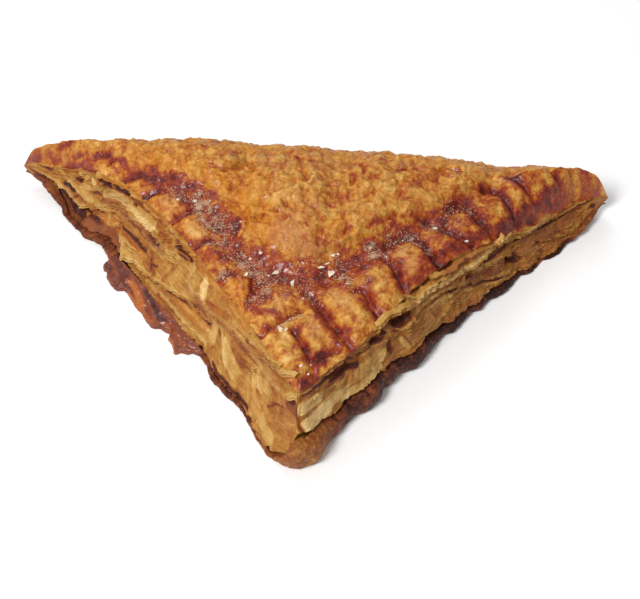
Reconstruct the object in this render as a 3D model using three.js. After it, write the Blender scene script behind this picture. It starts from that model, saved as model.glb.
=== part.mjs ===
// A folded puff-pastry turnover: one square of laminated dough closed corner to corner over its
// filling, crimped along the two cut edges and baked. It is one piece of food, so it is one solid.
//
// Millimetres, +Z up. X runs along the fold, +Y points from the crimped corner to the fold. The
// shape is worked out with the fold on y = 0 and is then moved so that the origin is the middle of
// its bounding box, on the surface that it rests on.
import * as THREE from 'three';
import { ParametricGeometry } from 'three/addons/geometries/ParametricGeometry.js';
import { mergeVertices } from 'three/addons/utils/BufferGeometryUtils.js';

const { lerp, smoothstep } = THREE.MathUtils;

// Plan of the lower sheet
const foldLength = 160; // from tip to tip
const cornerDepth = 88; // from the fold to the front corner
const cornerShift = 1.8; // how far the corner lies to the right of the middle
const cornerSoftness = 4; // rounding of the front corner
const scallopDepth = 0.9; // waves in the lower sheet's edge

// Upper sheet, which baking has drawn back from the lower one
const leftInset = 14.6; // most it has drawn back along the left leg
const leftInsetLost = 9; // how much less that is at the front corner
const rightInset = 5.6; // the same all along the right leg

// Heights
const tipHeight = 9.5; // both edges meet here at the tips
const edgeRise = 12.5; // how much higher the upper edge is along the legs
const foldHeight = 23.8; // top of the fold in the middle
const foldFall = 0.022; // how much lower it gets with each millimetre to the right
const leftFullness = 3; // how long the fold stays high towards the left tip, as a power
const rightFullness = 7;
const domeRise = 6.5; // swelling over the filling
const tipLift = 2.6; // how far the underside lifts at the tips

// Fold
const foldRound = 8; // from the fold's highest line back to y = 0
const foldBulge = 1; // how far it swells out behind that
const tipRound = 6; // length over which the tips are rounded off

// Crimped rim
const rimWidth = 15; // from the upper edge to the pressed valley
const valleyDepth = 1.7;
const valleyWidth = 3.2;
const marksPerLeg = 13; // tine marks along each leg
const markDepth = 1.5;
const markWidth = 0.14; // as a share of the distance from one mark to the next
const leftMarkAngle = 45; // degrees between the marks and the fold
const rightMarkAngle = 117;

// Sides, as shares of the height (0 base, 1 upper edge), of the inset and as an extra recess in mm.
// They go down from the crust's lip past the upper half's leaves, the seam and the lower half's
// leaves to the foot that the lower sheet forms.
const sideSteps = [
  { height: 0.88, inset: 0.97, recess: -0.3 }, // lip of the crust
  { height: 0.82, inset: 1.0, recess: 1.5 }, // under the lip
  { height: 0.66, inset: 0.86, recess: 0.5 }, // upper leaves
  { height: 0.57, inset: 0.78, recess: -0.4 },
  { height: 0.52, inset: 0.8, recess: 1.5 }, // seam between the two halves
  { height: 0.46, inset: 0.56, recess: -0.2 },
  { height: 0.34, inset: 0.42, recess: 0.9 }, // lower leaves
  { height: 0.19, inset: 0.3, recess: 0.5 },
  { height: 0.14, inset: 0.18, recess: 0 }, // top of the foot
  { height: 0.09, inset: 0, recess: 0 }, // edge of the foot
  { height: 0, inset: 0, recess: 0.8 }, // where it leaves the table
];

// Mesh density: columns along the fold, rows round each section
const columnsPerMark = 6;
const topRows = 14;
const baseRows = 1;
const foldRows = 5;

// The section's loop runs over the top, down the side, under the base and up round the fold.
const sideStart = topRows;
const baseStart = sideStart + sideSteps.length;
const foldStart = baseStart + baseRows;
const loopRows = foldStart + foldRows;

const halfColumns = marksPerLeg * columnsPerMark;
const halfFold = foldLength / 2;
const softApex = cornerDepth + cornerSoftness * Math.LN2;
const leftSlope = softApex / (halfFold + cornerShift);
const rightSlope = softApex / (halfFold - cornerShift);
const leftStretch = Math.hypot(1, leftSlope); // length of leg for each millimetre along the fold
const rightStretch = Math.hypot(1, rightSlope);

// A slow uneven wave between -1 and 1, so that nothing is quite straight
const wander = (x, phase) => 0.6 * Math.sin(x * 0.13 + phase) + 0.4 * Math.sin(x * 0.31 + phase * 2.3);

const bell = (x, width) => Math.exp(-((x / width) ** 2));

const heading = (degrees) => {
  const angle = THREE.MathUtils.degToRad(degrees);
  return new THREE.Vector2(Math.cos(angle), Math.sin(angle));
};

// How far a sheet reaches in front of the fold at x, with its legs drawn in and its corner rounded
function reach(x, leftDrawn = 0, rightDrawn = 0) {
  const left = leftSlope * (halfFold + x) - leftDrawn * leftStretch;
  const right = rightSlope * (halfFold - x) - rightDrawn * rightStretch;
  return -cornerSoftness * Math.log(Math.exp(-left / cornerSoftness) + Math.exp(-right / cornerSoftness));
}

// How far the upper sheet's edges have drawn back, at a length along the leg from its tip
function drawnBack(along) {
  const fading = smoothstep(along, 0, 8);
  const left = leftInset * smoothstep(along, -10, 40) - leftInsetLost * smoothstep(along, 62, 122);
  return { left: left * fading, right: rightInset * fading * smoothstep(along, -6, 12) };
}

// Length along a leg from its tip to the point at x
const alongLeg = (x) => (x < cornerShift ? (halfFold + x) * leftStretch : (halfFold - x) * rightStretch);

// Height of the fold's top, which stays full until close to the tips
function foldTop(x) {
  const power = x < 0 ? leftFullness : rightFullness;
  const fullness = Math.sqrt(Math.max(1 - Math.abs(x / halfFold) ** power, 0));
  return tipHeight + (foldHeight - foldFall * x - tipHeight) * fullness + 0.6 * wander(x, 2) * fullness;
}

// Everything that one section of the pastry needs to know, from the left tip to the right one
function station(column) {
  const share = column / halfColumns;
  const x = share < 1 ? lerp(-halfFold, cornerShift, share) : lerp(cornerShift, halfFold, share - 1);
  const along = alongLeg(x);
  const drawn = drawnBack(along);
  const leftShift = (drawn.left * leftSlope) / leftStretch;
  const rightShift = (-drawn.right * rightSlope) / rightStretch;
  const edgeX = x + lerp(leftShift, rightShift, smoothstep(x, cornerShift - 20, cornerShift + 20));
  const wave = scallopDepth * Math.cos((2 * Math.PI * column) / columnsPerMark) * smoothstep(along, 4, 20);
  const base = new THREE.Vector2(x, -Math.max(reach(x) + wave, 0));
  const edge = new THREE.Vector2(edgeX, -Math.max(reach(edgeX, drawn.left, drawn.right), 0));

  // The rim's marks are pressed in along the sections, which bend from them to straight up the fold.
  const turn = smoothstep(x, cornerShift - 40, cornerShift + 40);
  const markWay = heading(lerp(leftMarkAngle, rightMarkAngle, turn));
  const round = Math.min(foldRound, -0.35 * edge.y);
  const bendLength = Math.min(rimWidth, (0.6 * (-edge.y - round)) / markWay.y);
  const bend = edge.clone().addScaledVector(markWay, bendLength);

  const inwards = edge.clone().sub(base).normalize();
  const edgeHeight = tipHeight + edgeRise * smoothstep(along, -5, 48) + 0.5 * wander(along, x < 0 ? 1 : 4);
  const nose = Math.sqrt(1 - smoothstep(Math.abs(x), halfFold - tipRound, halfFold) ** 2);
  const lift = tipLift * smoothstep(Math.abs(x), halfFold - 16, halfFold);
  const markOffset = column / columnsPerMark - Math.round(column / columnsPerMark);
  return { along, base, edge, bend, round, inwards, edgeHeight, nose, lift, markOffset };
}

// Distance from a plan point to the nearer of the upper sheet's two crimped edges
function edgeDistance(point) {
  const drawn = drawnBack(alongLeg(point.x));
  const left = (leftSlope * (halfFold + point.x) + point.y) / leftStretch - drawn.left;
  const right = (rightSlope * (halfFold - point.x) + point.y) / rightStretch - drawn.right;
  return Math.max(Math.min(left, right), 0);
}

// Height of the crust at a plan point, share 0 on the fold and 1 on the crimped edge
function crustHeight(point, spot, share) {
  const fromEdge = edgeDistance(point);
  const dome = domeRise * (1 - bell(Math.max(fromEdge - rimWidth, 0), 15)) * (1 - bell(point.y, 16));
  const valley = valleyDepth * bell(fromEdge - rimWidth, valleyWidth);
  const rim = 1 - smoothstep(fromEdge, rimWidth - 4, rimWidth + 1);
  const marks = rim * (0.5 - markDepth * bell(spot.markOffset, markWidth));
  const fading = smoothstep(spot.along, 3, 14);
  const body = lerp(foldTop(point.x), spot.edgeHeight, share ** 1.3);
  return body + fading * (dome - valley + marks + 0.4 * wander(point.x + point.y * 0.7, 5) * share);
}

// One point of the skin, for a station and a row round its section
function skinPoint(spot, row, target) {
  const plan = new THREE.Vector2();
  let height = spot.lift;

  if (row <= sideStart) {
    const share = (row / sideStart) ** 0.75;
    const fold = new THREE.Vector2(spot.bend.x, -spot.round);
    const towardsBend = fold.lerp(spot.bend, share);
    plan.copy(spot.bend).lerp(spot.edge, share);
    plan.copy(towardsBend.lerp(plan, share));
    height = crustHeight(plan, spot, share);
  } else if (row <= baseStart) {
    const step = sideSteps[row - sideStart - 1];
    const recess = step.recess * smoothstep(spot.along, 4, 18);
    plan.copy(spot.base).lerp(spot.edge, step.inset).addScaledVector(spot.inwards, recess);
    height = lerp(spot.lift, spot.edgeHeight, step.height);
  } else {
    const angle = Math.PI * (Math.max(row - foldStart, 0) / foldRows - 0.5);
    const bulge = foldBulge * smoothstep(spot.along, 0, 36);
    plan.set(spot.bend.x, (spot.round + bulge) * Math.cos(angle) - spot.round);
    height = lerp(spot.lift, foldTop(spot.bend.x), (1 + Math.sin(angle)) / 2);
  }
  const middle = (tipHeight + spot.lift) / 2;
  target.set(plan.x, plan.y * Math.max(spot.nose, 0.02), lerp(middle, height, spot.nose));
}

// The skin as one closed mesh: the last row meets the first, and each tip is a single point
function pastryGeometry() {
  const columns = 2 * halfColumns;
  const stations = Array.from({ length: columns + 1 }, (_, column) => station(column));
  const grid = new ParametricGeometry(
    (u, v, target) => {
      const column = Math.round(u * columns);
      const row = Math.round((1 - v) * loopRows) % loopRows; // this way round, the faces point outwards
      const atTip = column === 0 || column === columns;
      if (atTip) target.set(Math.sign(u - 0.5) * halfFold, 0, (tipHeight + tipLift) / 2);
      else skinPoint(stations[column], row, target);
    },
    columns,
    loopRows,
  );
  grid.deleteAttribute('normal');
  grid.deleteAttribute('uv');
  const welded = mergeVertices(grid, 1e-3);
  const corners = Array.from(welded.index.array);
  const faces = [];
  for (let i = 0; i < corners.length; i += 3) {
    const [a, b, c] = corners.slice(i, i + 3);
    if (a !== b && b !== c && c !== a) faces.push(a, b, c);
  }
  welded.setIndex(faces);
  welded.computeBoundingBox();
  const { min, max } = welded.boundingBox;
  welded.translate(-(min.x + max.x) / 2, -(min.y + max.y) / 2, -min.z);
  welded.computeVertexNormals();
  return welded;
}

const bakedPastry = new THREE.MeshStandardMaterial({ color: 0xc1874a, roughness: 0.55, metalness: 0 });

const turnover = new THREE.Mesh(pastryGeometry(), bakedPastry);
turnover.name = 'turnover';

const part = new THREE.Group();
part.add(turnover);

export default part;
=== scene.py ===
import math
import bmesh
import bpy
import numpy as np
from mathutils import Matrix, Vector


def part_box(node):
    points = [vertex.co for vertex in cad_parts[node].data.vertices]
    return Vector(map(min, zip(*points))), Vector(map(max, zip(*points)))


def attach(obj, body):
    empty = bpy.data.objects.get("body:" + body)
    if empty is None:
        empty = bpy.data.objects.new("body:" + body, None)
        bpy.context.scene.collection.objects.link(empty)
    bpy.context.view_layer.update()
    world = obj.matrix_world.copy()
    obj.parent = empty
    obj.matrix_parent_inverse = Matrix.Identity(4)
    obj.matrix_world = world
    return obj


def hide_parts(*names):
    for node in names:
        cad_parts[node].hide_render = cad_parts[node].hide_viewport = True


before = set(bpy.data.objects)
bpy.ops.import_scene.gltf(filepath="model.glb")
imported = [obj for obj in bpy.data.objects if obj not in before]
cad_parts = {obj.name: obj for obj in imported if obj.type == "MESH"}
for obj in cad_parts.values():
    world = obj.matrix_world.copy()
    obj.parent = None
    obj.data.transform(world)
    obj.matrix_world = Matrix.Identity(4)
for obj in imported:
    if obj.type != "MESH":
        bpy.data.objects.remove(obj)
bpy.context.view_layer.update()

# Millimetres while shaping: x along the fold, y = 0 on the fold and minus towards the crimped
# corner, z up. toRow turns that into metres in the row's frame.
halfFold = 80.0
foldBulge = 1.0
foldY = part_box("turnover")[1][1] * 1000 - foldBulge


def toRow(points):
    return (np.asarray(points, float) + (0, foldY, 0)) / 1000


def toTip(x):
    # how far along the fold the nearer tip is
    return halfFold - np.abs(x)


def smooth(value, low, high):
    t = np.clip((value - low) / (high - low), 0, 1)
    return t * t * (3 - 2 * t)


def mix(a, b, t):
    return a + (b - a) * t


def bell(value, width):
    return np.exp(-((value / width) ** 2))


def table(points, value):
    return np.interp(value, [p[0] for p in points], [p[1] for p in points])


def unit(vectors):
    return vectors / np.linalg.norm(vectors, axis=-1)[..., None]


def noise(x, y, size, seed=0, octaves=1, gain=0.5):
    total, amount, weight = 0.0, 1.0, 0.0
    for octave in range(octaves):
        angles = np.random.default_rng(seed * 17 + octave).random((128, 128)) * 2 * math.pi
        u, v = x / size * 2**octave + 31.7 * octave, y / size * 2**octave + 11.3 * octave
        iu, iv = np.floor(u).astype(int), np.floor(v).astype(int)
        fu, fv = u - iu, v - iv
        corners = []
        for du in (0, 1):
            for dv in (0, 1):
                a = angles[(iu + du) % 128, (iv + dv) % 128]
                corners.append(np.cos(a) * (fu - du) + np.sin(a) * (fv - dv))
        su, sv = fu**3 * (fu * (fu * 6 - 15) + 10), fv**3 * (fv * (fv * 6 - 15) + 10)
        low, high = mix(corners[0], corners[1], sv), mix(corners[2], corners[3], sv)
        total = total + amount * 1.5 * mix(low, high, su)
        weight += amount
        amount *= gain
    return total / weight


def ridges(x, y, size, seed=0, octaves=2):
    # 1 on thin winding lines and falling away from them
    return 1 - np.clip(np.abs(noise(x, y, size, seed, octaves)) * 3.2, 0, 1)


def facets(x, y, size, seed=0):
    # crumpled skin: every cell is a small tilted plane; also the distance to the cell's border
    random = np.random.default_rng(seed)
    offsets, tilts = random.random((64, 64, 2)), random.normal(0, 1, (64, 64, 3))
    u, v = x / size, y / size
    iu, iv = np.floor(u).astype(int), np.floor(v).astype(int)
    first, second, plane = np.full(np.shape(u), 9.0), np.full(np.shape(u), 9.0), np.zeros(np.shape(u))
    for du in (-1, 0, 1):
        for dv in (-1, 0, 1):
            cell, tilt = offsets[(iu + du) % 64, (iv + dv) % 64], tilts[(iu + du) % 64, (iv + dv) % 64]
            toU, toV = u - iu - du - cell[..., 0], v - iv - dv - cell[..., 1]
            d = np.hypot(toU, toV)
            plane = np.where(d < first, tilt[..., 0] * toU + tilt[..., 1] * toV + 0.4 * tilt[..., 2], plane)
            second = np.minimum(second, np.maximum(first, d))
            first = np.minimum(first, d)
    return plane, second - first


def toPath(flat, x, y):
    # distance from a line of points given as x, y, x, y, ...
    path = [(flat[k], flat[k + 1]) for k in range(0, len(flat), 2)]
    best = np.full(np.shape(x), 1e9)
    for (ax, ay), (bx, by) in zip(path[:-1], path[1:]):
        dx, dy = bx - ax, by - ay
        t = np.clip(((x - ax) * dx + (y - ay) * dy) / (dx * dx + dy * dy + 1e-9), 0, 1)
        best = np.minimum(best, np.hypot(x - ax - t * dx, y - ay - t * dy))
    return best


def nearPath(flat, x, y, margin):
    xs, ys = flat[0::2], flat[1::2]
    across = (x > min(xs) - margin) & (x < max(xs) + margin)
    return np.nonzero(across & (y > min(ys) - margin) & (y < max(ys) + margin))


def paintOver(values, x, y, dabs, soft=0.9, seed=5, rough=0.5):
    # each dab is (value, width, x, y, x, y, ...), laid over what is already there
    warpX = x + rough * noise(x, y, 2.6, seed, 3)
    warpY = y + rough * noise(x, y, 2.6, seed + 1, 3)
    for value, width, *line in dabs:
        near = nearPath(line, x, y, width + soft + 1)
        if near[0].size:
            away = toPath(line, warpX[near], warpY[near])
            cover = 1 - smooth(away, 0.5 * width - 0.4 * soft, 0.5 * width + 0.6 * soft)
            values[near] = mix(values[near], value, cover)
    return values


plan = {
    "corner": (1.8, -88.0),  # front corner of the lower sheet
    # where the two open sides meet below that corner, at the foot and under the crust
    "cornerFoot": (1.8, -86.9),
    "cornerTop": (2.3, -79.4),
    "cornerSoft": 0.7,
    "legReach": 126.0,
    "left": {
        "tip": (-halfFold, 0.0),
        # against the length along the leg: how far the side leans in at the top
        "inset": [
            (0, 0), (1.7, 0.9), (10.5, 5.9), (22.7, 10.4), (28.4, 12.6), (42.5, 14.3), (53, 14.8),
            (62.5, 14.2), (71.9, 13.5), (84.4, 11.8), (100.8, 8.5), (105, 7.2), (109.8, 6.0), (126, 4.4),
        ],
        # how far in the upper crust's edge lies, and how high it is there
        "crust": [
            (0, 0), (1.7, 0.9), (10.5, 5.8), (18, 9.2), (25, 11.4), (30, 12.6), (38, 13.3), (45, 13.6),
            (53, 13.9), (62, 13.5), (72, 12.6), (80, 11.6), (85, 11.1), (90, 10.3), (95, 9.6), (100, 8.6),
            (105, 7.5), (110, 6.8), (126, 6.6),
        ],
        "lip": [
            (0, 1), (15, 0.99), (25, 0.98), (35, 0.96), (45, 0.93), (60, 0.92), (80, 0.91), (87, 0.92),
            (95, 0.96), (102, 0.99), (126, 0.97),
        ],
        # how far inside its straight leg the lower sheet's edge lies, and how high it is browned
        "foot": [
            (0, 0), (1.9, 0.7), (3.8, 1.2), (8, 1.2), (15, 1.5), (18.8, 0.5), (24.9, 0.8), (27.9, 0.5),
            (30.8, 2.0), (33.2, 2.7), (37, 1.8), (45, 1.0), (60, 1.0), (70, 1.2), (76.9, 1.6), (78, 2.1),
            (82.4, 1.7), (85.5, 0.2), (87.9, -0.2), (89.8, 0.2), (92.9, -0.2), (95.4, 0.5), (99.1, 0.4),
            (106.8, -1.6), (112.8, -2.4), (117.5, -1.5), (121, 0),
        ],
        "brown": [
            (0, 3), (4, 3.8), (8, 2.6), (12, 1.6), (18, 0.9), (24, 1.0), (27, 1.6), (34, 2.2), (38, 2.2),
            (42, 1.6), (60, 1.5), (74, 1.4), (79, 1.2), (84, 1.0), (92, 1.1), (100, 0.9), (106, 0.7),
            (113, 0.8), (116, 2.2), (119, 6.8), (121, 7.6),
        ],
    },
    "right": {
        "tip": (halfFold, 0.0),
        "inset": [(0, 0), (3, 1.4), (10, 5.2), (20, 5.6), (110, 5.4), (126, 4.8)],
        "crust": [
            (0, 0), (3, 1.3), (10, 4.3), (20, 4.5), (28, 4.9), (36, 5.2), (42, 5.6), (46, 6.3), (50, 7.0),
            (56, 7.7), (61, 8.1), (68, 8.1), (72, 7.8), (77, 6.8), (82, 5.9), (90, 5.2), (95, 5.1),
            (100, 5.4), (106, 5.3), (112, 5.5), (126, 5.9),
        ],
        "lip": [(0, 1), (3, 0.92), (8, 0.82), (22, 0.82), (30, 0.88), (38, 0.92), (46, 0.99), (126, 0.98)],
        "foot": [
            (0, 0), (3.1, 0.2), (4.8, -0.6), (10.3, -1.2), (15.1, -1.0), (17, -0.5), (20.4, -1.0),
            (23.5, -0.4), (25.5, 0.6), (30.7, 0.0), (31.8, 0.1), (33.4, 1.1), (41.8, 0.1), (46, 1.5),
            (49.7, 0.9), (52.2, 1.9), (60.2, 0.9), (62.3, 2.0), (72.8, -0.2), (75.5, -0.3), (79.3, 1.3),
            (83.5, 0.7), (85.4, 1.0), (87.9, -0.4), (90.2, -1.0), (92.4, -1.0), (96.2, 0.4), (102.9, -0.4),
            (107.2, -1.0), (110.4, -2.5), (112.7, -2.8), (114.7, -1.9), (116.1, -1.4), (119, 0),
        ],
        "brown": [
            (0, 1.2), (15, 0.8), (20, 0.6), (24, 0.6), (28, 0.7), (32, 1.4), (36, 1.7), (40, 2.4),
            (50, 2.6), (60, 3.2), (66, 3.6), (70, 5.6), (76, 5.2), (80, 5.7), (90, 6.9), (96, 6.1),
            (102, 5.6), (108, 7.5), (114, 9.2), (119, 8.6),
        ],
    },
    "edgeHeight": 22.0,
    "tipHeight": 9.0,
    "tipReach": 45.0,
    "tipLift": 2.6,
    # how far along the fold the tips begin to round off and to lift
    "bluntFrom": 74.0,
    "liftFrom": 64.0,
    "crustThickness": 1.3,
    "foldTop": [
        (-80, 9.5), (-78.5, 12.4), (-76, 15.2), (-72, 18.0), (-66, 20.9), (-57, 22.9), (-50, 24.0),
        (-44, 24.4), (-36, 25.0), (-28, 25.5), (-22, 24.8), (-16, 22.5), (-12, 23.2), (-3, 23.5),
        (3, 22.9), (6.4, 21.6), (9.5, 22.0), (15.7, 23.2), (22, 22.6), (37.6, 21.9), (43.9, 21.4),
        (47, 21.3), (50, 22.2), (56, 23.0), (65.5, 22.9), (69, 22.0), (72, 20.8), (75, 18.6), (78, 14.6),
        (80, 9.5),
    ],
    "foldRound": 8.0,
}


def legFrame(side):
    tip, corner = np.array(plan[side]["tip"]), np.array(plan["corner"])
    way = (corner - tip) / np.linalg.norm(corner - tip)
    inward = np.array([-way[1], way[0]]) * (1 if side == "left" else -1)
    return tip, way, inward, float(np.linalg.norm(corner - tip))


def cornerLean(side):
    # halfway between the inward ways of this side and the other one
    return (legFrame(side)[2] + legFrame("right" if side == "left" else "left")[2]) / 2


def onLeg(side, s, inset):
    tip, way, inward, _ = legFrame(side)
    return tip + s[..., None] * way + inset[..., None] * inward


def edgeHeight(x):
    return mix(plan["tipHeight"], plan["edgeHeight"], smooth(toTip(x), 0, plan["tipReach"]))


def tipLift(x):
    return plan["tipLift"] * smooth(np.abs(x), plan["liftFrom"], halfFold)


def tipMiddle(x):
    return (plan["tipHeight"] + tipLift(x)) / 2


def bluntTips(points, middle, lowest=0.0):
    # draw the last few millimetres of both tips together to a rounded nose
    nose = np.sqrt(1 - smooth(np.abs(points[..., 0]), plan["bluntFrom"], halfFold) ** 2)
    points[..., 1] *= np.maximum(nose, 0.02)
    points[..., 2] = mix(middle, np.maximum(points[..., 2], lowest), nose)
    return points


def edgeY(x):
    # the crust's edge in plan, with its front corner rounded
    s = np.linspace(0, plan["legReach"], 500)
    found = []
    for side in ("left", "right"):
        points = onLeg(side, s, table(plan[side]["crust"], s))
        order = np.argsort(points[:, 0])
        found.append(np.interp(x, points[order, 0], points[order, 1]))
    soft = plan["cornerSoft"]
    return soft * np.logaddexp(found[0] / soft, found[1] / soft)


def fromEdge(x, y):
    # distance in from the crust's edge, and how far the rim has sunk there
    near, sunk = np.full(np.shape(x), 1e9), np.zeros(np.shape(x))
    for side in ("left", "right"):
        tip, way, inward, _ = legFrame(side)
        s = (x - tip[0]) * way[0] + (y - tip[1]) * way[1]
        w = (x - tip[0]) * inward[0] + (y - tip[1]) * inward[1] - table(plan[side]["crust"], s)
        roll = 0.5 * (1 - smooth(w, 0, 7)) + 0.5 * (1 - smooth(w, -0.4, 2.8))
        near = np.minimum(near, w)
        sunk = np.maximum(sunk, (1 - table(plan[side]["lip"], s)) * edgeHeight(x) * roll)
    return near, sunk


crust = {
    "columns": 500,
    "topRows": 186,
    "backRows": 60,
    # the torn edge, from underneath: leaves of pastry, how far out and how far down in thicknesses
    "tornEdge": [
        (-6.0, -1.0), (-3.0, -1.0), (-1.2, -1.0), (-0.3, -0.94), (0.25, -0.84), (0.0, -0.74),
        (-0.2, -0.66), (0.35, -0.56), (0.4, -0.44), (0.0, -0.36), (0.35, -0.26), (0.4, -0.14),
        (0.15, -0.04),
    ],
    "domeRise": 5.4,
    "domeStep": 1.5,
    "domeFoot": [
        (-78, -0.6), (-66, -3.6), (-58, -6.0), (-52, -9.5), (-48, -12.5), (-42, -13), (-39, -14.5),
        (-35, -15.8), (-31, -17.8), (-27, -20.8), (-23.5, -23.6), (-20, -24.6), (-17, -25.4), (-15.2, -27),
        (-15.1, -30), (-15.0, -33.5), (-14, -35.6), (-11, -36.8), (-9, -39), (-6, -40.8), (-2, -41.6),
        (2, -41.6), (5, -40.8), (8, -39.4), (11, -37.2), (14, -34.2), (17, -32.6), (20, -30.6),
        (23, -28.6), (26, -26), (30, -23.8), (34, -22), (37, -19.4), (40, -17.2), (44, -14), (46, -11.6),
        (50, -8), (58, -5), (66, -2.6), (78, -0.6),
    ],
    "valley": [
        -50, -13, -44, -14.5, -38, -18, -32, -21.5, -27, -25.5, -22, -31, -19, -37, -14, -42, -8, -46,
        0, -47, 6, -46, 11, -42, 16, -37.5, 22, -33, 28, -28.5, 34, -24.5, 39, -20, 44, -15.5, 49, -11,
    ],
    "valleyDepth": 1.1,
    # the cushions swell to this height this far from the marks
    "pillow": 1.3,
    "pillowReach": 4.0,
    "markDepth": 0.6,
    # tine marks: depth, width, then the line
    "marks": [
        (0.7, 0.7, -68.5, -2, -65, -2.2), (0.8, 0.8, -64, -4.2, -60, -4.8),
        (0.9, 0.8, -58.6, -6.6, -53.5, -7.2), (0.9, 0.7, -53.7, -9, -51, -8.7, -47.5, -12),
        (1.2, 0.8, -50, -14.2, -44, -14), (1.7, 0.9, -44, -22.4, -41.8, -21, -39, -19.8),
        (1.6, 0.9, -36, -30, -33.6, -28.7, -29, -27), (1.6, 0.9, -30, -38, -27.3, -37, -22.5, -35.5),
        (1.7, 1.0, -22.4, -47.4, -19.7, -46.3, -15.5, -45.2),
        (1.9, 0.9, -11.4, -46.5, -11.0, -51, -12.4, -54.5, -15.5, -59.5),
        (1.4, 0.8, -11.5, -66.5, -8.7, -64.2, -4.5, -60.8, 1.5, -56.5),
        (1.4, 0.9, 0, -62.5, 2.5, -66, 4.5, -69.8, 5.8, -76),
        (1.5, 1.0, 5.2, -70.2, 8.8, -67.8, 11, -67.4),
        (2.0, 0.9, 2, -51, 3.5, -51.5, 8, -58, 11, -62, 15.5, -67.5),
        (2.0, 0.9, 14.3, -48.8, 16.5, -50, 18, -53, 21, -57.5),
        (2.1, 0.9, 21.3, -38.6, 23, -41, 24.5, -44, 26.6, -49),
        (1.9, 0.8, 21, -33.2, 23, -31, 25, -30.5, 27.5, -31.3, 30, -33.5, 34.6, -40),
        (2.0, 0.9, 30, -25, 32.5, -25.8, 38, -29.4, 43, -31.8),
        (1.8, 0.9, 36.5, -20.8, 38.5, -18.8, 41, -19, 43, -21.5, 44, -24, 49, -27),
        (1.4, 0.8, 45, -12.6, 47.5, -12, 49.8, -14, 54, -19.6), (1.3, 0.9, 51, -7.5, 53.5, -8.7, 58, -12),
        (1.0, 0.8, 61, -3.8, 66, -6.2), (0.8, 0.7, 67, -2.2, 71, -4.2),
    ],
    # folds in the dome's skin, grooves plus and ridges minus
    "folds": [
        (0.5, 0.7, -26, -15, -22, -16.4, -18, -14.6, -17, -13.6),
        (-0.55, 1.2, -26, -13.6, -22, -14.8, -18.5, -12.8), (0.55, 0.8, -17, -9, -15.6, -13, -14, -16),
        (0.55, 0.9, -2.6, -10, -1.5, -15, 0, -19), (0.4, 0.6, -7, -8, -5.5, -12),
        (0.4, 0.45, -5.3, -27, -3, -29, -2, -29.2), (0.4, 0.45, 2, -27, 4, -29),
        (0.3, 0.4, -8.5, -29, -6.5, -29.5), (0.5, 0.7, 5, -20, 6, -18.8, 8, -19, 8, -22, 6, -23.6),
        (0.5, 0.7, 8.6, -22, 9.6, -25.5), (0.75, 0.9, 13.4, -10.4, 14.4, -14.2),
        (0.75, 0.9, 11, -14.4, 11.2, -17.6), (-0.6, 0.7, -8, -25, -4, -24, 0, -20.5, 2, -18),
        (0.7, 1.0, 4, -37.2, 9, -34.2, 12, -31.3), (1.0, 1.0, 15, -30.8, 18, -29, 21, -26.8, 24, -24.6),
        (-0.9, 1.7, -1, -39.4, 5, -38.4, 9, -36.1, 15, -31.9, 20, -28.7, 26, -25),
        (0.5, 0.7, 22, -12, 26, -11, 30, -9.5, 35, -9.2, 39, -9), (-0.5, 0.8, 23, -10.8, 28, -9, 34, -8),
        (0.5, 0.9, 9.8, -28, 10.4, -32), (0.6, 0.8, -12, -30, -11, -29.8),
        (0.45, 0.6, -7.4, -34, -6.6, -37.6, -4, -40.6), (-0.3, 0.35, 6, -27, 12, -26.3),
        (-0.3, 0.35, 6.5, -28.4, 12, -27.7), (-0.5, 0.7, 13, -17, 15, -19),
        (0.4, 0.6, 27, -20, 31, -18, 35, -18.4), (0.45, 0.7, -20, -21, -18, -20.4, -15, -21.5),
        (-0.4, 0.9, -15, -30, -16.4, -34.6), (0.4, 0.6, -31, -12.6, -27, -12, -25, -9),
        (0.35, 0.6, -43, -9, -39, -11.5), (0.4, 0.7, 33, -13.5, 37, -14.5, 41, -12),
        (0.35, 0.5, 18, -15.4, 21, -17.5, 25, -17),
    ],
}


def domeSkin(x, y):
    # baked skin: soft swells, wrinkles and small bubbles, and where its creases run
    warpX, warpY = x + 2.0 * noise(x, y, 8, 11, 2), y + 2.0 * noise(x, y, 8, 12, 2)
    tilt, border = facets(warpX, warpY * 1.2, 7.5, 6)
    tiltSmall, borderSmall = facets(warpX + 0.6 * noise(x, y, 2, 13), warpY, 2.9, 7)
    crease = 1 - smooth(border, 0, 0.16)
    creaseSmall = 1 - smooth(borderSmall, 0, 0.2)
    wrinkle = ridges(warpX, warpY, 5.5, 15, 3) ** 2
    skin = 0.5 * noise(x, y, 12, 14, 2) + 0.14 * tilt * smooth(border, 0, 0.3) - 0.1 * crease
    skin += 0.16 * tiltSmall * smooth(borderSmall, 0, 0.3) - 0.08 * creaseSmall
    skin += 0.55 * noise(x, y, 4.5, 24, 3) - 0.4 * wrinkle + 0.34 * noise(x, y, 1.9, 16, 3)
    return skin, np.clip(0.3 * crease + 0.2 * creaseSmall + 0.5 * wrinkle, 0, 1)


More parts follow.
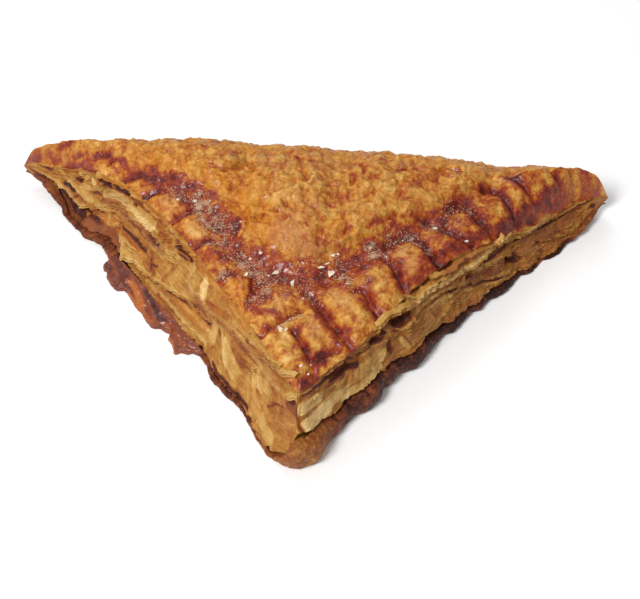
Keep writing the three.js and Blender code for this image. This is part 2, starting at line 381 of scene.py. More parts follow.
def crustHeight(x, y):
    # the crust's upper face, and what its colour follows: edge, dome, creases and swells
    edge, sunk = fromEdge(x, y)
    share = np.clip(-y / np.maximum(-edgeY(x), 1e-3), 0, 1.2)
    body = mix(table(plan["foldTop"], x), edgeHeight(x), share**1.3)
    wobbleX, wobbleY = x + 0.7 * noise(x, y, 4, 3, 2), y + 0.7 * noise(x, y, 4, 4, 2)
    footXs, footYs = [p[0] for p in crust["domeFoot"]], [p[1] for p in crust["domeFoot"]]
    footAt = np.interp(wobbleX, footXs, footYs)
    slope = np.interp(x, footXs[:-1], np.diff(footYs) / np.maximum(np.diff(footXs), 0.5))
    inDome = np.maximum((wobbleY - footAt) / np.sqrt(1 + np.clip(slope, -1.4, 1.4) ** 2), 0)
    calm = smooth(toTip(x), 2, 16)
    dome = crust["domeRise"] * (1 - np.exp(-inDome / 11)) * (0.3 + 0.7 * smooth(-y, 2, 26))
    dome += crust["domeStep"] * (1 - np.exp(-((inDome / 2.0) ** 2))) * smooth(-y, 3, 14)
    valleyAway = toPath(crust["valley"], x, y)
    valley = crust["valleyDepth"] * bell(valleyAway, 3.0)

    bendX, bendY = x + 0.4 * noise(x, y, 3, 8, 2), y + 0.4 * noise(x, y, 3, 9, 2)
    away, groove = np.full(np.shape(x), 99.0), np.zeros(np.shape(x))
    for depth, width, *line in crust["marks"]:
        near = nearPath(line, x, y, 7)
        d = toPath(line, bendX[near], bendY[near])
        away[near] = np.minimum(away[near], d)
        pressed = crust["markDepth"] * depth * (0.6 * bell(d, width) + 0.4 * bell(d, 2 * width))
        groove[near] = np.maximum(groove[near], pressed)
    rim = 1 - smooth(inDome, 0, 1.6)
    fromMark = np.clip(away / crust["pillowReach"], 0, 1)
    pillow = crust["pillow"] * np.sqrt(fromMark * (2 - fromMark)) * rim
    pillow *= smooth(edge, -1.2, 2.6) * (1 - 0.75 * bell(valleyAway, 3.4))

    folds = np.zeros(np.shape(x))
    for depth, width, *line in crust["folds"]:
        near = nearPath(line, x, y, 4)
        folds[near] += depth * bell(toPath(line, bendX[near], bendY[near]), width)

    skin, crease = domeSkin(x, y)
    skinRim = 0.46 * noise(x, y, 2.6, 17, 3) + 0.4 * noise(x, y, 6, 18, 2)
    skinRim = skinRim - 0.2 * ridges(x, y, 3.5, 19, 3) + 0.2 * noise(x, y, 1.2, 20, 3)
    onDome = smooth(inDome, 0.2, 2.0)
    relief = mix(skinRim, 1.3 * (skin - folds), onDome)
    height = body + calm * (dome - valley + pillow - groove * rim) - sunk + relief * mix(0.35, 1, calm)
    return {"height": height, "edge": edge, "dome": onDome * calm,
            "crease": crease * onDome, "skin": skin * onDome}


def edgeOut(x):
    return unit(-mix(legFrame("left")[2], legFrame("right")[2], smooth(x, -0.5, 5.0)[:, None]))


def buildCrust():
    x = np.clip(np.linspace(-halfFold, halfFold, crust["columns"]), 0.03 - halfFold, halfFold - 0.03)
    front = edgeY(x)
    roundY = np.minimum(plan["foldRound"], -0.35 * front)
    outward = edgeOut(x)
    fade = smooth(toTip(x), 1, 10)
    ragged = 0.55 * noise(x * 1.5, x * 0, 3.1, 21, 3) + 0.25 * noise(x, x * 0, 9, 22)
    edgeTop = crustHeight(x, front)["height"]
    rows, unrolled, kinds = [], [], []
    for k, (out, drop) in enumerate(crust["tornEdge"]):
        own = 0.3 * noise(x, x * 0 + 9.1 * k, 1.7, 23 + k, 2) if out > -1 else 0
        # near the tips the underside stops short of the fold
        reach = (np.maximum(out, 0.4 * front) + (ragged if out > -1 else ragged * 0.3) + own) * fade
        z = edgeTop + drop * plan["crustThickness"] * mix(0.4, 1, fade)
        rows.append(np.stack([x + outward[:, 0] * reach, front + outward[:, 1] * reach, z], 1))
        unrolled.append(np.stack([x, front - 0.25 * (len(crust["tornEdge"]) - k)], 1))
        kinds.append(-drop)
    for share in 1 - np.linspace(0, 1, crust["topRows"]) ** 0.95:
        y = -roundY + (front + roundY) * share
        out = ragged * fade * smooth(share, 0.95, 1.0)
        z = crustHeight(x, y)["height"]
        rows.append(np.stack([x + outward[:, 0] * out, y + outward[:, 1] * out, z], 1))
        unrolled.append(np.stack([x, y], 1))
        kinds.append(0.0)
    return np.array(rows), np.array(unrolled), np.array(kinds), x, roundY


def buildFold(x, crest, roundY):
    fade = smooth(toTip(x), 1, 10)
    bulge = foldBulge * smooth(toTip(x), 0, 25)
    rows, unrolled = [], []
    count = crust["backRows"]
    # away from the seam the crest's small bumps are smoothed out
    window = bell(np.arange(-30, 31), 14)
    calmCrest = np.convolve(np.pad(crest, 30, mode="edge"), window / window.sum(), mode="valid")
    for k in range(count):
        angle = math.pi * (0.5 - k / (count - 1))
        arc = 30 * k / (count - 1)
        started = smooth(arc, 0, 2.5)
        skin = 1.1 * (domeSkin(x, arc - roundY)[0] - 0.2) * started * smooth(k, count - 1, count - 12) * fade
        outness = math.cos(angle)
        y = -roundY + (roundY + bulge) * outness + skin * outness
        ridge = mix(crest, calmCrest, started)
        z = mix(tipLift(x) + 0.3, ridge, (1 + math.sin(angle)) / 2) + skin * math.sin(angle)
        rows.append(np.stack([x, y, z], 1))
        unrolled.append(np.stack([x, -roundY + arc], 1))
    return bluntTips(np.array(rows), tipMiddle(x), 0.15), np.array(unrolled)


def gridFaces(rows, columns, wrap=False):
    index = np.arange(rows * columns).reshape(rows, columns)
    if wrap:
        index = np.concatenate([index, index[:, :1]], 1)
    return np.stack([index[:-1, :-1], index[:-1, 1:], index[1:, 1:], index[1:, :-1]], -1).reshape(-1, 4)


def placePiece(mesh, material, topping=False):
    mesh.materials.append(material)
    mesh.validate()
    piece = bpy.data.objects.new(mesh.name, mesh)
    bpy.context.scene.collection.objects.link(piece)
    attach(piece, "root")
    if not topping:
        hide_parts("turnover")
    print(mesh.name, len(mesh.polygons), "faces")


def makePiece(name, points, faces, material, masks, topping=False):
    mesh = bpy.data.meshes.new(name)
    mesh.from_pydata(toRow(np.asarray(points).reshape(-1, 3)).tolist(), [], [list(face) for face in faces])
    if masks:
        mesh.shade_smooth()
    for label, values in masks.items():
        layer = mesh.attributes.new(label, "FLOAT", "POINT")
        layer.data.foreach_set("value", np.asarray(values, np.float32).reshape(-1))
    placePiece(mesh, material, topping)


# browning of the crust, in plan; bake runs from 0, pale flake, over 0.35, golden, and 0.6,
# red-brown, to 1, burnt
crustPaint = {
    # the dark band in the valley, from the left tip round to the right
    "band": [
        (0.76, 1.0, -48, -13.7, -44, -13.8, -41, -15),
        (0.72, 4.0, -42, -15.2, -38, -18, -33, -20.5, -29, -23), (0.74, 6.0, -29, -23, -25, -27, -21, -31),
        (0.72, 5.4, -21, -30, -19, -35, -17, -40), (0.71, 7.2, -17, -39, -13, -42, -8, -45.5, 0, -46.8),
        (0.7, 7.2, 0, -46.5, 6, -45.5, 11, -43, 15, -39.5), (0.72, 5.6, 15, -39, 19, -36, 22, -33.5),
        (0.74, 3.6, 20, -33, 26, -29.5, 31, -27), (0.73, 3.2, 31, -27, 36, -24, 38, -21),
        (0.72, 2.0, 37, -21, 40, -19, 43, -18.5), (0.7, 1.0, 45, -13, 48, -12.2, 49.5, -13.5),
        (0.7, 4.6, -9.5, -46, -9, -54), (0.62, 3.4, 3, -50, 5, -54, 7, -58),
        (0.68, 1.6, -37, -16.2, -32, -18.3, -27, -21.5, -24, -24),
        (0.62, 4.6, -22, -37, -20, -41, -17, -44), (0.62, 2.4, 4, -46, 6, -49),
        (0.55, 1.0, -15.7, -27.5, -15.6, -32), (0.54, 1.6, -24, -31, -23.5, -34),
        (0.56, 1.3, 3, -41.4, 8, -40.4, 12, -37.6, 15, -34.4), (0.55, 1.2, -9, -38.5, -6, -40.6),
        (0.58, 2.5, -2, -42.5, 2, -42.5), (0.62, 2.0, 9, -48, 11, -49), (0.6, 1.2, 16, -34.5, 22, -30.5),
        (0.54, 2.6, -3, -50, -1, -53),
    ],
    # the cushions between the tine marks
    "cushions": [
        (0.42, 3.3, -46, -16.2, -42, -20), (0.38, 2.6, -38.5, -23, -34, -27),
        (0.26, 1.0, -36, -24.6, -34.6, -25.4), (0.36, 4.4, -31, -30, -27, -34),
        (0.28, 1.8, -29, -32, -27, -34.6), (0.5, 4.0, -26, -38.5, -21, -44),
        (0.46, 4.2, -15.6, -47.6, -14.5, -52.5), (0.4, 4.6, -10, -58.5, -6.5, -61.5),
        (0.42, 3.4, -5, -55.8, -1, -56), (0.37, 5.6, -5, -66, -2, -71, 0.5, -75.5),
        (0.22, 1.8, -2.2, -64, -1, -71), (0.48, 1.6, -4.5, -70, -1.5, -75.5),
        (0.38, 4.6, 2.4, -59.5, 6, -64, 8, -66.5), (0.3, 1.6, 3.6, -60, 5.4, -64.5),
        (0.36, 6.2, 9.4, -52.8, 13, -58, 15.2, -62), (0.24, 2.0, 12, -54.5, 10, -52),
        (0.5, 1.6, 14, -58, 13, -61.5), (0.24, 0.7, 15, -56.5, 16.4, -60.4),
        (0.38, 5.4, 19.6, -45.6, 21.4, -51), (0.27, 1.4, 19, -47, 20, -49.5),
        (0.37, 5.0, 26, -36.4, 28, -40.5, 30, -42.6), (0.26, 1.6, 24.6, -37.6, 27, -40.4),
        (0.58, 1.6, 31, -37.6, 29, -44), (0.42, 4.4, 31.4, -29.6, 34, -33), (0.64, 2.4, 37, -31, 38, -33),
        (0.43, 3.8, 38.4, -22.8, 40, -26), (0.3, 0.9, 37.4, -26.2, 38.6, -26.6),
        (0.4, 5.0, 46, -17, 48, -21, 50, -24), (0.29, 0.8, 48.6, -20, 49.6, -22.2),
        (0.37, 5.0, 53, -12, 55.4, -15.6), (0.27, 1.0, 55, -16.4, 57, -13.4), (0.4, 4.0, 60, -6.2, 62, -9),
        (0.29, 1.2, 47, -9.4, 50, -8.8), (0.6, 1.6, -40, -22.5, -42, -20.5),
        (0.54, 1.6, -32, -31.5, -29, -35), (0.3, 1.4, 20.5, -50, 22.5, -52),
        (0.56, 1.6, 17, -47, 17.6, -50), (0.55, 1.8, 24, -42, 27, -45), (0.54, 1.6, 35, -30, 37, -33.6),
        (0.5, 1.6, 43, -20, 45, -23),
    ],
    # dark red glaze along the right rim
    "rim": [
        (0.64, 2.0, 26, -46.5, 30, -43, 33.5, -39.6), (0.67, 2.8, 33, -38.8, 37, -35.2, 40.5, -32.2),
        (0.6, 2.0, 41, -31.2, 46, -27.4, 50, -25.2), (0.68, 2.8, 50, -24, 54, -19.5, 57, -16),
        (0.7, 3.0, 57, -16, 61, -11.5, 66, -7), (0.66, 0.9, 66, -7, 72, -4, 77, -2),
        (0.5, 1.4, 46, -24.5, 43, -27.5, 40, -30), (0.62, 2.4, 9, -62, 12.4, -65.6),
        (0.74, 2.4, 7.5, -70.2, 6, -73, 4, -77), (0.8, 1.5, 5, -75, 3, -78.3),
        (0.45, 1.6, -1.5, -76.6, 1.4, -78.8), (0.66, 1.0, 66, -1, 69, -4), (0.72, 1.4, 71, -1, 75, -3),
    ],
    "marks": [
        (0.83, 0.9, -48, -13.7, -44, -13.9), (0.95, 1.3, -41.8, -21, -39.5, -20, -38, -19),
        (0.85, 0.8, -33.6, -28.7, -31, -27.8, -29, -27), (0.86, 0.9, -27.3, -37, -25, -36.3, -22.5, -35.5),
        (0.9, 1.1, -19.7, -46.3, -18, -45.5, -16, -45.2), (0.92, 1.5, -17.2, -33.4, -17, -30),
        (0.74, 1.2, -11.4, -47, -11.1, -51, -12.4, -54.5), (0.92, 0.9, -8.7, -64, -7, -62.8),
        (0.6, 0.9, -7, -62.8, -4.5, -60.8, -1, -58, 1.5, -56.5),
        (0.7, 1.2, -12, -55.6, -8, -57.4, -5.5, -57.8), (0.83, 0.9, 0, -62.5, 2.5, -66, 4.5, -69.8),
        (0.9, 1.2, 4.5, -70, 6, -70.3), (0.97, 1.0, 8.8, -67.8, 7, -68.6, 5.5, -69.5),
        (0.86, 1.1, 2, -51, 3.5, -51.5, 5, -53.5, 8, -58, 11, -62, 14.4, -66),
        (0.68, 2.6, 6, -58, 9.4, -62, 11.6, -64.6), (0.58, 1.4, 14.5, -50.2, 16.5, -53, 18, -55.2),
        (0.9, 1.3, 14.3, -48.8, 16.5, -50, 18, -53, 20, -55.7),
        (0.93, 1.3, 21.5, -38.8, 23, -41, 24.5, -44, 25.6, -47),
        (0.86, 1.2, 21, -33.2, 23, -31, 25, -30.5, 27.5, -31.3, 30, -33.5, 32, -36.5, 33.5, -38.6),
        (0.96, 1.8, 32.6, -37.8, 33.2, -38.8),
        (0.88, 1.2, 30, -25, 32.5, -25.8, 35, -27.6, 38, -29.4, 41.8, -31),
        (0.96, 1.4, 40.6, -30.6, 41.4, -31),
        (0.87, 1.3, 36.5, -20.8, 38.5, -18.8, 41, -19, 43, -21.5, 43.8, -23.5, 47, -25.5),
        (0.95, 1.6, 42.6, -21.4, 43.4, -23.2),
        (0.85, 1.1, 45, -12.6, 47.5, -12, 49.8, -14, 51.5, -16.5, 53.3, -18.5),
        (0.85, 1.2, 51, -7.5, 53.5, -8.7, 56.5, -11), (0.8, 0.8, 61, -3.8, 63, -4.6, 65.5, -5.6),
        (0.78, 0.6, -53.7, -9, -51, -8.7, -49, -9.8, -47.5, -12),
        (0.82, 0.7, -58.6, -6.6, -55.5, -6.6, -53.5, -7.3), (0.85, 0.6, -68.5, -2, -65, -2),
        (0.7, 0.5, -64, -4.4, -60, -4.6), (0.8, 0.8, -66.5, -5, -62, -6.4, -59, -8.5, -57, -10.5),
        (0.6, 1.0, -61, -6, -57, -8), (0.62, 0.6, -79, -0.4, -74, -1.5, -68, -3.5),
    ],
    # marks and streaks in the dome's skin; the pale dabs on the ridges of its folds are painted highlight,
    # and the darker dabs in its grooves are partly painted shade
    "skin": [
        (0.22, 0.6, -8, -25, -4, -24, 0, -20.5, 2, -18), (0.24, 0.3, 6, -27, 12, -26.3),
        (0.24, 0.3, 6.5, -28.4, 12, -27.7), (0.24, 0.3, 8, -29.2, 11, -29), (0.22, 0.6, 13, -17, 15, -19),
        (0.22, 0.4, -15, -30, -16.3, -34.5), (0.37, 1.6, 0, -39.4, 5, -38.2, 9, -36, 15, -31.7, 20, -28.5),
        (0.5, 0.5, -26, -15, -22, -16.4, -18, -14.6, -17, -13.6),
        (0.5, 0.6, -17, -9, -15.6, -13, -14, -16), (0.46, 0.6, -7, -8, -5.5, -12),
        (0.5, 0.8, -2.6, -10, -1.5, -15, 0, -19), (0.55, 0.5, -20, -21, -18, -20.4),
        (0.58, 0.35, -5.3, -27, -3, -29, -2, -29.2), (0.55, 0.3, -8.5, -29, -6.5, -29.5),
        (0.55, 0.3, 2, -27, 4, -29), (0.6, 0.4, -9, -16.8, -8.6, -17.6), (0.62, 1.2, -12, -30, -11, -29.8),
        (0.6, 1.0, 13.4, -10.4, 14, -12.4, 14.4, -14.2), (0.62, 1.1, 11, -14.4, 11.5, -16, 11.2, -17.6),
        (0.5, 0.4, 5, -20, 6, -18.8, 8, -19, 8, -22, 6, -23.6), (0.5, 0.5, 8.6, -22, 9.6, -25.5),
        (0.5, 1.2, 9.8, -28, 10.4, -32), (0.48, 0.8, 4, -37.2, 9, -34.2, 12, -31.3),
        (0.61, 1.0, 15, -30.8, 18, -29, 21, -26.8, 22.4, -25.6),
        (0.58, 1.1, 25, -25.6, 28, -24, 33, -22.6), (0.55, 1.0, 18, -8, 21.5, -8),
        (0.52, 1.8, 26, -14.5, 28, -15.5, 27, -13), (0.52, 2.2, 31, -13, 33, -14.5, 32, -11.5),
        (0.56, 0.5, 22, -12, 26, -11, 30, -9.5, 35, -9.2, 39, -9), (0.54, 1.1, 34, -10.5, 36, -12),
        (0.6, 0.7, 38, -8.5, 39, -9.5), (0.52, 1.0, 23.4, -19, 24.8, -21),
        (1.0, 0.7, -3.9, -10.3, -3.5, -10.4), (0.52, 1.1, -28.5, -7.5, -27, -9),
        (0.45, 1.8, 4, -33, 6.5, -36.5), (0.55, 0.35, 0, -31.5, 1, -33), (0.46, 1.4, 15, -15, 17, -16),
        (0.48, 1.2, -34, -8, -30, -9), (0.47, 1.0, -40, -12, -36, -13.4), (0.45, 1.2, -22, -9, -20, -11),
    ],
    "amber": [
        (0.6, 6, -45, -9, -35, -12), (0.5, 5, -34, -13, -26, -18),
        (0.9, 5, -24, -19, -19, -22.5, -14, -27), (0.8, 6, -13, -28, -8, -35),
        (0.7, 5, -17, -17, -12, -22), (1, 4.4, -15.5, -47.5, -14.5, -53),
        (0.9, 1.6, -31.5, -29.5, -30.5, -31), (0.8, 2, 41, -28, 47, -25), (0.6, 2, 22, -50, 24, -46),
        (0.6, 3, 10, -58, 8, -56), (0.7, 2, -4, -69, -1, -75), (0.6, 2, 14, -51, 17, -54),
        (0.5, 3, 46, -22, 50, -23), (0.5, 4, -60, -8, -50, -11), (0.6, 2, 13, -35, 17, -32),
        (0.5, 4, 5, -35, 10, -31), (0.5, 3, 53, -15, 56, -16), (0.6, 2.5, -44, -20, -41, -22),
    ],
    "rose": [
        (0.8, 6, -5.5, -35, 2, -38), (0.5, 4, -12, -9, -10, -13), (0.35, 5, 2, -13, 6, -10),
        (0.7, 5, 24, -38, 27, -41), (0.7, 2, 4, -60, 5, -64), (0.5, 3, -28, -33, -26, -35),
        (0.5, 3, 12, -55, 11, -53), (0.5, 3, 38, -24, 39, -26), (0.4, 6, -2, -30, 2, -27),
        (0.4, 4, 28, -10, 24, -8), (0.5, 3, 32, -30, 33, -32), (0.4, 2, -5, -55, -2, -53),
        (0.5, 2, -36, -24, -34, -26),
    ],
    "powder": [
        (0.35, 3, -36, -20, -32, -23), (0.8, 4.4, -27.5, -23.5, -25, -27, -24, -31),
        (0.7, 3.4, -22, -30, -19, -33), (0.8, 2.4, -23, -36, -20, -36.5),
        (0.9, 1.7, -20, -46, -16.5, -45.3), (0.85, 3.4, -14.5, -41, -11.5, -43.5),
        (0.9, 2, -11.5, -45, -9.5, -45.5), (0.8, 3, -8.5, -47.5, -8, -52.5),
        (0.8, 1.8, -10.5, -53, -9.5, -55), (0.3, 3, -5.5, -47, -1, -43), (0.4, 2, -1, -41.5, 3, -41.5),
        (0.5, 1.6, 2, -46, 3, -48), (0.8, 1.6, 2, -51, 5, -53.5), (0.9, 1.4, -3.5, -61.5, 1, -57.5),
        (0.4, 2, -4, -54, -1, -51), (0.8, 2.4, 9.5, -43, 11, -46, 13, -47.3),
        (0.6, 1.6, 14, -47.3, 17, -46.5), (0.9, 2, 17, -34.8, 18.5, -37.5),
        (0.8, 1, 20, -31.5, 24, -30.5, 28, -31.5, 31, -35), (0.35, 2, 24, -36, 23, -40),
        (0.6, 1.2, 36, -21, 39, -18.8, 42, -20), (0.6, 1, 37, -26, 38.5, -26.8),
        (0.5, 1.2, 21, -38, 20, -41), (0.5, 1.5, 7, -42, 9, -39.5), (0.5, 1, 30, -26.5, 33, -26.5),
        (0.25, 2, 5, -44, 8, -41), (0.4, 1.4, -18, -38, -16, -40), (0.5, 1.2, 8, -50.6, 11, -51),
    ],
}


# how soft and how rough the outline of each group's dabs is, in the order they are laid
crustBrush = {"band": (3.0, 1.5), "cushions": (2.4, 1.2), "rim": (1.6, 1.0), "marks": (1.2, 0.6),
              "skin": (1.0, 0.6)}


def powderAmount(x, y):
    amount = paintOver(np.zeros(np.shape(x)), x, y, crustPaint["powder"], 3.4, 48, 1.2)
    amount += 0.16 * bell(toPath(crust["valley"], x, y), 4.0)
    return amount * np.clip(0.8 + 1.3 * noise(x, y, 2.6, 52, 3), 0, 1.3)


def crustColour(x, y, info):
    bake = mix(0.42, 0.33, info["dome"]) + 0.07 * noise(x, y, 5, 41, 3)
    # creases darken the browning, partly as painted shade, and the raised skin is lightened as a painted
    # highlight
    bake += 0.12 * info["crease"] - 0.1 * info["skin"] - 0.05 * smooth(-info["edge"], -2.2, -0.4)
    for group, (soft, rough) in crustBrush.items():
        if group == "marks":
            # glaze has run and caught beside each deep tine mark
            halo = [(0.6 + 0.04 * (line[0] > 15), 2.6 * width, *line)
                    for value, width, *line in crustPaint[group] if value > 0.8]
            bake = np.maximum(bake, paintOver(bake.copy(), x, y, halo, 2.2, 42, 1.2))
        bake = paintOver(bake, x, y, crustPaint[group], soft, 43, rough)
        if group == "marks":
            bake = np.minimum(bake, 0.85)
    rim = 1 - info["dome"]
    bake += 0.06 * rim * smooth(x, 16, 36) * (1 - smooth(x, 54, 64))
    rim *= 0.3 + 0.7 * smooth(toTip(x), 6, 24)
    bake += (0.09 + 0.11 * rim) * noise(x, y, 1.1, 44, 3) + (0.18 + 0.16 * rim) * noise(x, y, 3, 45, 3)
    # the right tip is brown rather than red under its one dark patch
    bake = mix(bake, np.clip(bake, 0.4, 0.54), smooth(x, 64, 70) * smooth(-y, 1.2, 2.2))
    masks = {"bake": np.minimum(bake, 0.8 + 0.3 * (bake - 0.8))}
    for k, label in enumerate(("amber", "rose")):
        masks[label] = paintOver(np.zeros(np.shape(x)), x, y, crustPaint[label], 3.5, 46 + k, 0.9)
    masks["powder"] = powderAmount(x, y)
    # the glaze on the right rim's outer face is thin and set, with little shine of its own
    masks["dry"] = smooth(x, 22, 32) * (1 - smooth(info["edge"], 3.5, 7.5)) + 0.7 * smooth(-x, 62, 70)
    masks["amber"] *= 0.8 + 0.6 * noise(x, y, 2.5, 50, 2)
    return masks


print("crust: shaping")
crustPoints, crustPlan, crustKinds, columnX, roundY = buildCrust()
crest = crustPoints[-1, :, 2].copy()
crustPoints = bluntTips(crustPoints, tipMiddle(columnX), 0.15)
planX, planY = crustPlan[..., 0], crustPlan[..., 1]
info = crustHeight(planX, planY)
crustMasks = crustColour(planX, planY, info)
torn = np.clip(crustKinds, 0, 1)[:, None] * np.ones_like(planX)
leafEdge = smooth(torn, 0.2, 0.6) * (planX < 40)
leafTone = 0.36 + 0.22 * noise(planX, torn * 14, 1.5, 51, 2) + 0.25 * smooth(torn, 0.8, 1)
crustMasks["bake"] = mix(crustMasks["bake"], leafTone, 0.85 * leafEdge)
crustMasks["powder"] *= 1 - smooth(torn, 0, 0.1)


def linear(r, g, b):
    def channel(c):
        c = c / 255
        return c / 12.92 if c <= 0.04045 else ((c + 0.055) / 1.055) ** 2.4
    return (channel(r), channel(g), channel(b), 1)


def newMaterial(name):
    material = bpy.data.materials.new(name)
    material.use_nodes = True
    tree = material.node_tree
    tree.nodes.clear()
    out = tree.nodes.new("ShaderNodeOutputMaterial")
    surface = tree.nodes.new("ShaderNodeBsdfPrincipled")
    tree.links.new(surface.outputs["BSDF"], out.inputs["Surface"])
    return material, tree, surface


def feed(tree, socket, value):
    if isinstance(value, bpy.types.NodeSocket):
        tree.links.new(value, socket)
    else:
        socket.default_value = value


def maths(tree, operation, a, b=0.0, clamp=False):
    node = tree.nodes.new("ShaderNodeMath")
    node.operation = operation
    node.use_clamp = clamp
    feed(tree, node.inputs[0], a)
    feed(tree, node.inputs[1], b)
    return node.outputs[0]


def blendColour(tree, factor, a, b):
    node = tree.nodes.new("ShaderNodeMix")
    node.data_type = "RGBA"
    feed(tree, node.inputs["Factor"], factor)
    feed(tree, node.inputs[6], a)
    feed(tree, node.inputs[7], b)
    return node.outputs[2]


def mask(tree, label):
    node = tree.nodes.new("ShaderNodeAttribute")
    node.attribute_name = label
    return node.outputs["Fac"]


def between(tree, value, low, high):
    node = tree.nodes.new("ShaderNodeMapRange")
    node.interpolation_type = "SMOOTHSTEP"
    feed(tree, node.inputs["Value"], value)
    node.inputs["From Min"].default_value = low
    node.inputs["From Max"].default_value = high
    return node.outputs["Result"]


def colourScale(tree, value, stops):
    node = tree.nodes.new("ShaderNodeValToRGB")
    feed(tree, node.inputs["Fac"], value)
    elements = node.color_ramp.elements
    while len(elements) < len(stops):
        elements.new(0.5)
    for element, (place, colour) in zip(elements, stops):
        element.position = place
        element.color = linear(*colour)
    return node.outputs["Color"]


def setInputs(node, **values):
    for label, value in values.items():
        node.inputs[label.replace("_", " ")].default_value = value


def groupShell(name, inputs, outputs):
    group = bpy.data.node_groups.new(name, "ShaderNodeTree")
    for label, default in inputs:
        socket = group.interface.new_socket(name=label, in_out="INPUT", socket_type="NodeSocketFloat")
        socket.default_value = default
    for label in outputs:
        group.interface.new_socket(name=label, in_out="OUTPUT", socket_type="NodeSocketFloat")
    return group, group.nodes.new("NodeGroupInput"), group.nodes.new("NodeGroupOutput")


def noiseNode(tree, vector, scale, detail=3.0, roughness=0.55, distortion=0.0):
    node = tree.nodes.new("ShaderNodeTexNoise")
    feed(tree, node.inputs["Vector"], vector)
    feed(tree, node.inputs["Scale"], scale)
    setInputs(node, Detail=detail, Roughness=roughness, Distortion=distortion)
    return node.outputs["Fac"]


# oven browning: soft blotches, and fine speckle where fat and sugar have caught
ovenMottle, inside, outside = groupShell("oven mottle", [("Blotch Scale", 120.0), ("Speckle Scale", 900.0)],
                                         ["Blotch", "Speckle"])
place = ovenMottle.nodes.new("ShaderNodeTexCoord").outputs["Object"]
blotches = noiseNode(ovenMottle, place, inside.outputs["Blotch Scale"], 4.0, 0.6, 0.6)
speckles = noiseNode(ovenMottle, place, inside.outputs["Speckle Scale"], 3.0, 0.6)
ovenMottle.links.new(blotches, outside.inputs["Blotch"])
ovenMottle.links.new(speckles, outside.inputs["Speckle"])

# the height of torn flakes and tiny bubbles
flakeRelief, inside, outside = groupShell(
    "flake relief", [("Flake Scale", 500.0), ("Grain Scale", 2200.0)], ["Height"])
place = flakeRelief.nodes.new("ShaderNodeTexCoord").outputs["Object"]
flakes = noiseNode(flakeRelief, place, inside.outputs["Flake Scale"], 5.0, 0.65, 0.8)
flakes = between(flakeRelief, flakes, 0.35, 0.65)
grain = noiseNode(flakeRelief, place, inside.outputs["Grain Scale"], 2.0, 0.5)
grain = maths(flakeRelief, "MULTIPLY", grain, 0.35)
flakeRelief.links.new(maths(flakeRelief, "ADD", flakes, grain), outside.inputs["Height"])

# icing sugar that has half melted: grains whose number follows the density
sugarDust, inside, outside = groupShell("sugar dust", [("Density", 0.5), ("Grain Scale", 2600.0)], ["Mask"])
place = sugarDust.nodes.new("ShaderNodeTexCoord").outputs["Object"]
grains = noiseNode(sugarDust, place, inside.outputs["Grain Scale"], 2.0, 0.6)
clumps = noiseNode(sugarDust, place, 700.0, 3.0, 0.6)
level = maths(sugarDust, "MULTIPLY", grains, 0.6)
level = maths(sugarDust, "ADD", level, maths(sugarDust, "MULTIPLY", clumps, 0.55))
level = maths(sugarDust, "ADD", level, maths(sugarDust, "MULTIPLY", inside.outputs["Density"], 0.36))
sugarDust.links.new(between(sugarDust, level, 0.8, 0.98), outside.inputs["Mask"])


def useGroup(tree, group, **values):
    node = tree.nodes.new("ShaderNodeGroup")
    node.node_tree = group
    for label, value in values.items():
        feed(tree, node.inputs[label.replace("_", " ")], value)
    return node


def addBump(tree, surface, height, distance, strength=0.8):
    bump = tree.nodes.new("ShaderNodeBump")
    setInputs(bump, Strength=strength, Distance=distance)
    feed(tree, bump.inputs["Height"], height)
    tree.links.new(bump.outputs["Normal"], surface.inputs["Normal"])


def unevenness(tree, mottle, blotch, speckle):
    # browning that blotches and speckle add or take away
    blotches = maths(tree, "MULTIPLY", maths(tree, "SUBTRACT", mottle.outputs["Blotch"], 0.5), blotch)
    speckles = maths(tree, "MULTIPLY", maths(tree, "SUBTRACT", mottle.outputs["Speckle"], 0.5), speckle)
    return maths(tree, "ADD", blotches, speckles)


def tint(tree, colour, amount, where, strength, tone):
    amount = maths(tree, "MULTIPLY", maths(tree, "MULTIPLY", amount, where), strength)
    return blendColour(tree, amount, colour, linear(*tone))


crustLook = {
    "browning": [
        (0.0, (236, 194, 124)), (0.2, (216, 164, 86)), (0.34, (197, 137, 58)), (0.46, (178, 103, 32)),
        (0.58, (156, 64, 16)), (0.7, (136, 44, 22)), (0.84, (94, 26, 17)), (1.0, (28, 9, 8)),
    ],
    "amber": (204, 126, 18),
    "rose": (184, 112, 74),
    "dust": (212, 172, 140),
    "tintStrength": 0.6,
    # browning that blotches and speckle swing by
    "blotch": 0.42,
    "speckle": 0.52,
    "roughSkin": 0.38,
    "roughGlaze": 0.27,
    "roughDust": 0.35,
    # shine on top of the glaze and of buttery patches, and the share of it missing where it is dry
    "coatGlaze": 0.3,
    "coatButter": 0.42,
    "coatDry": 0.85,
    "bump": 0.00034,
}


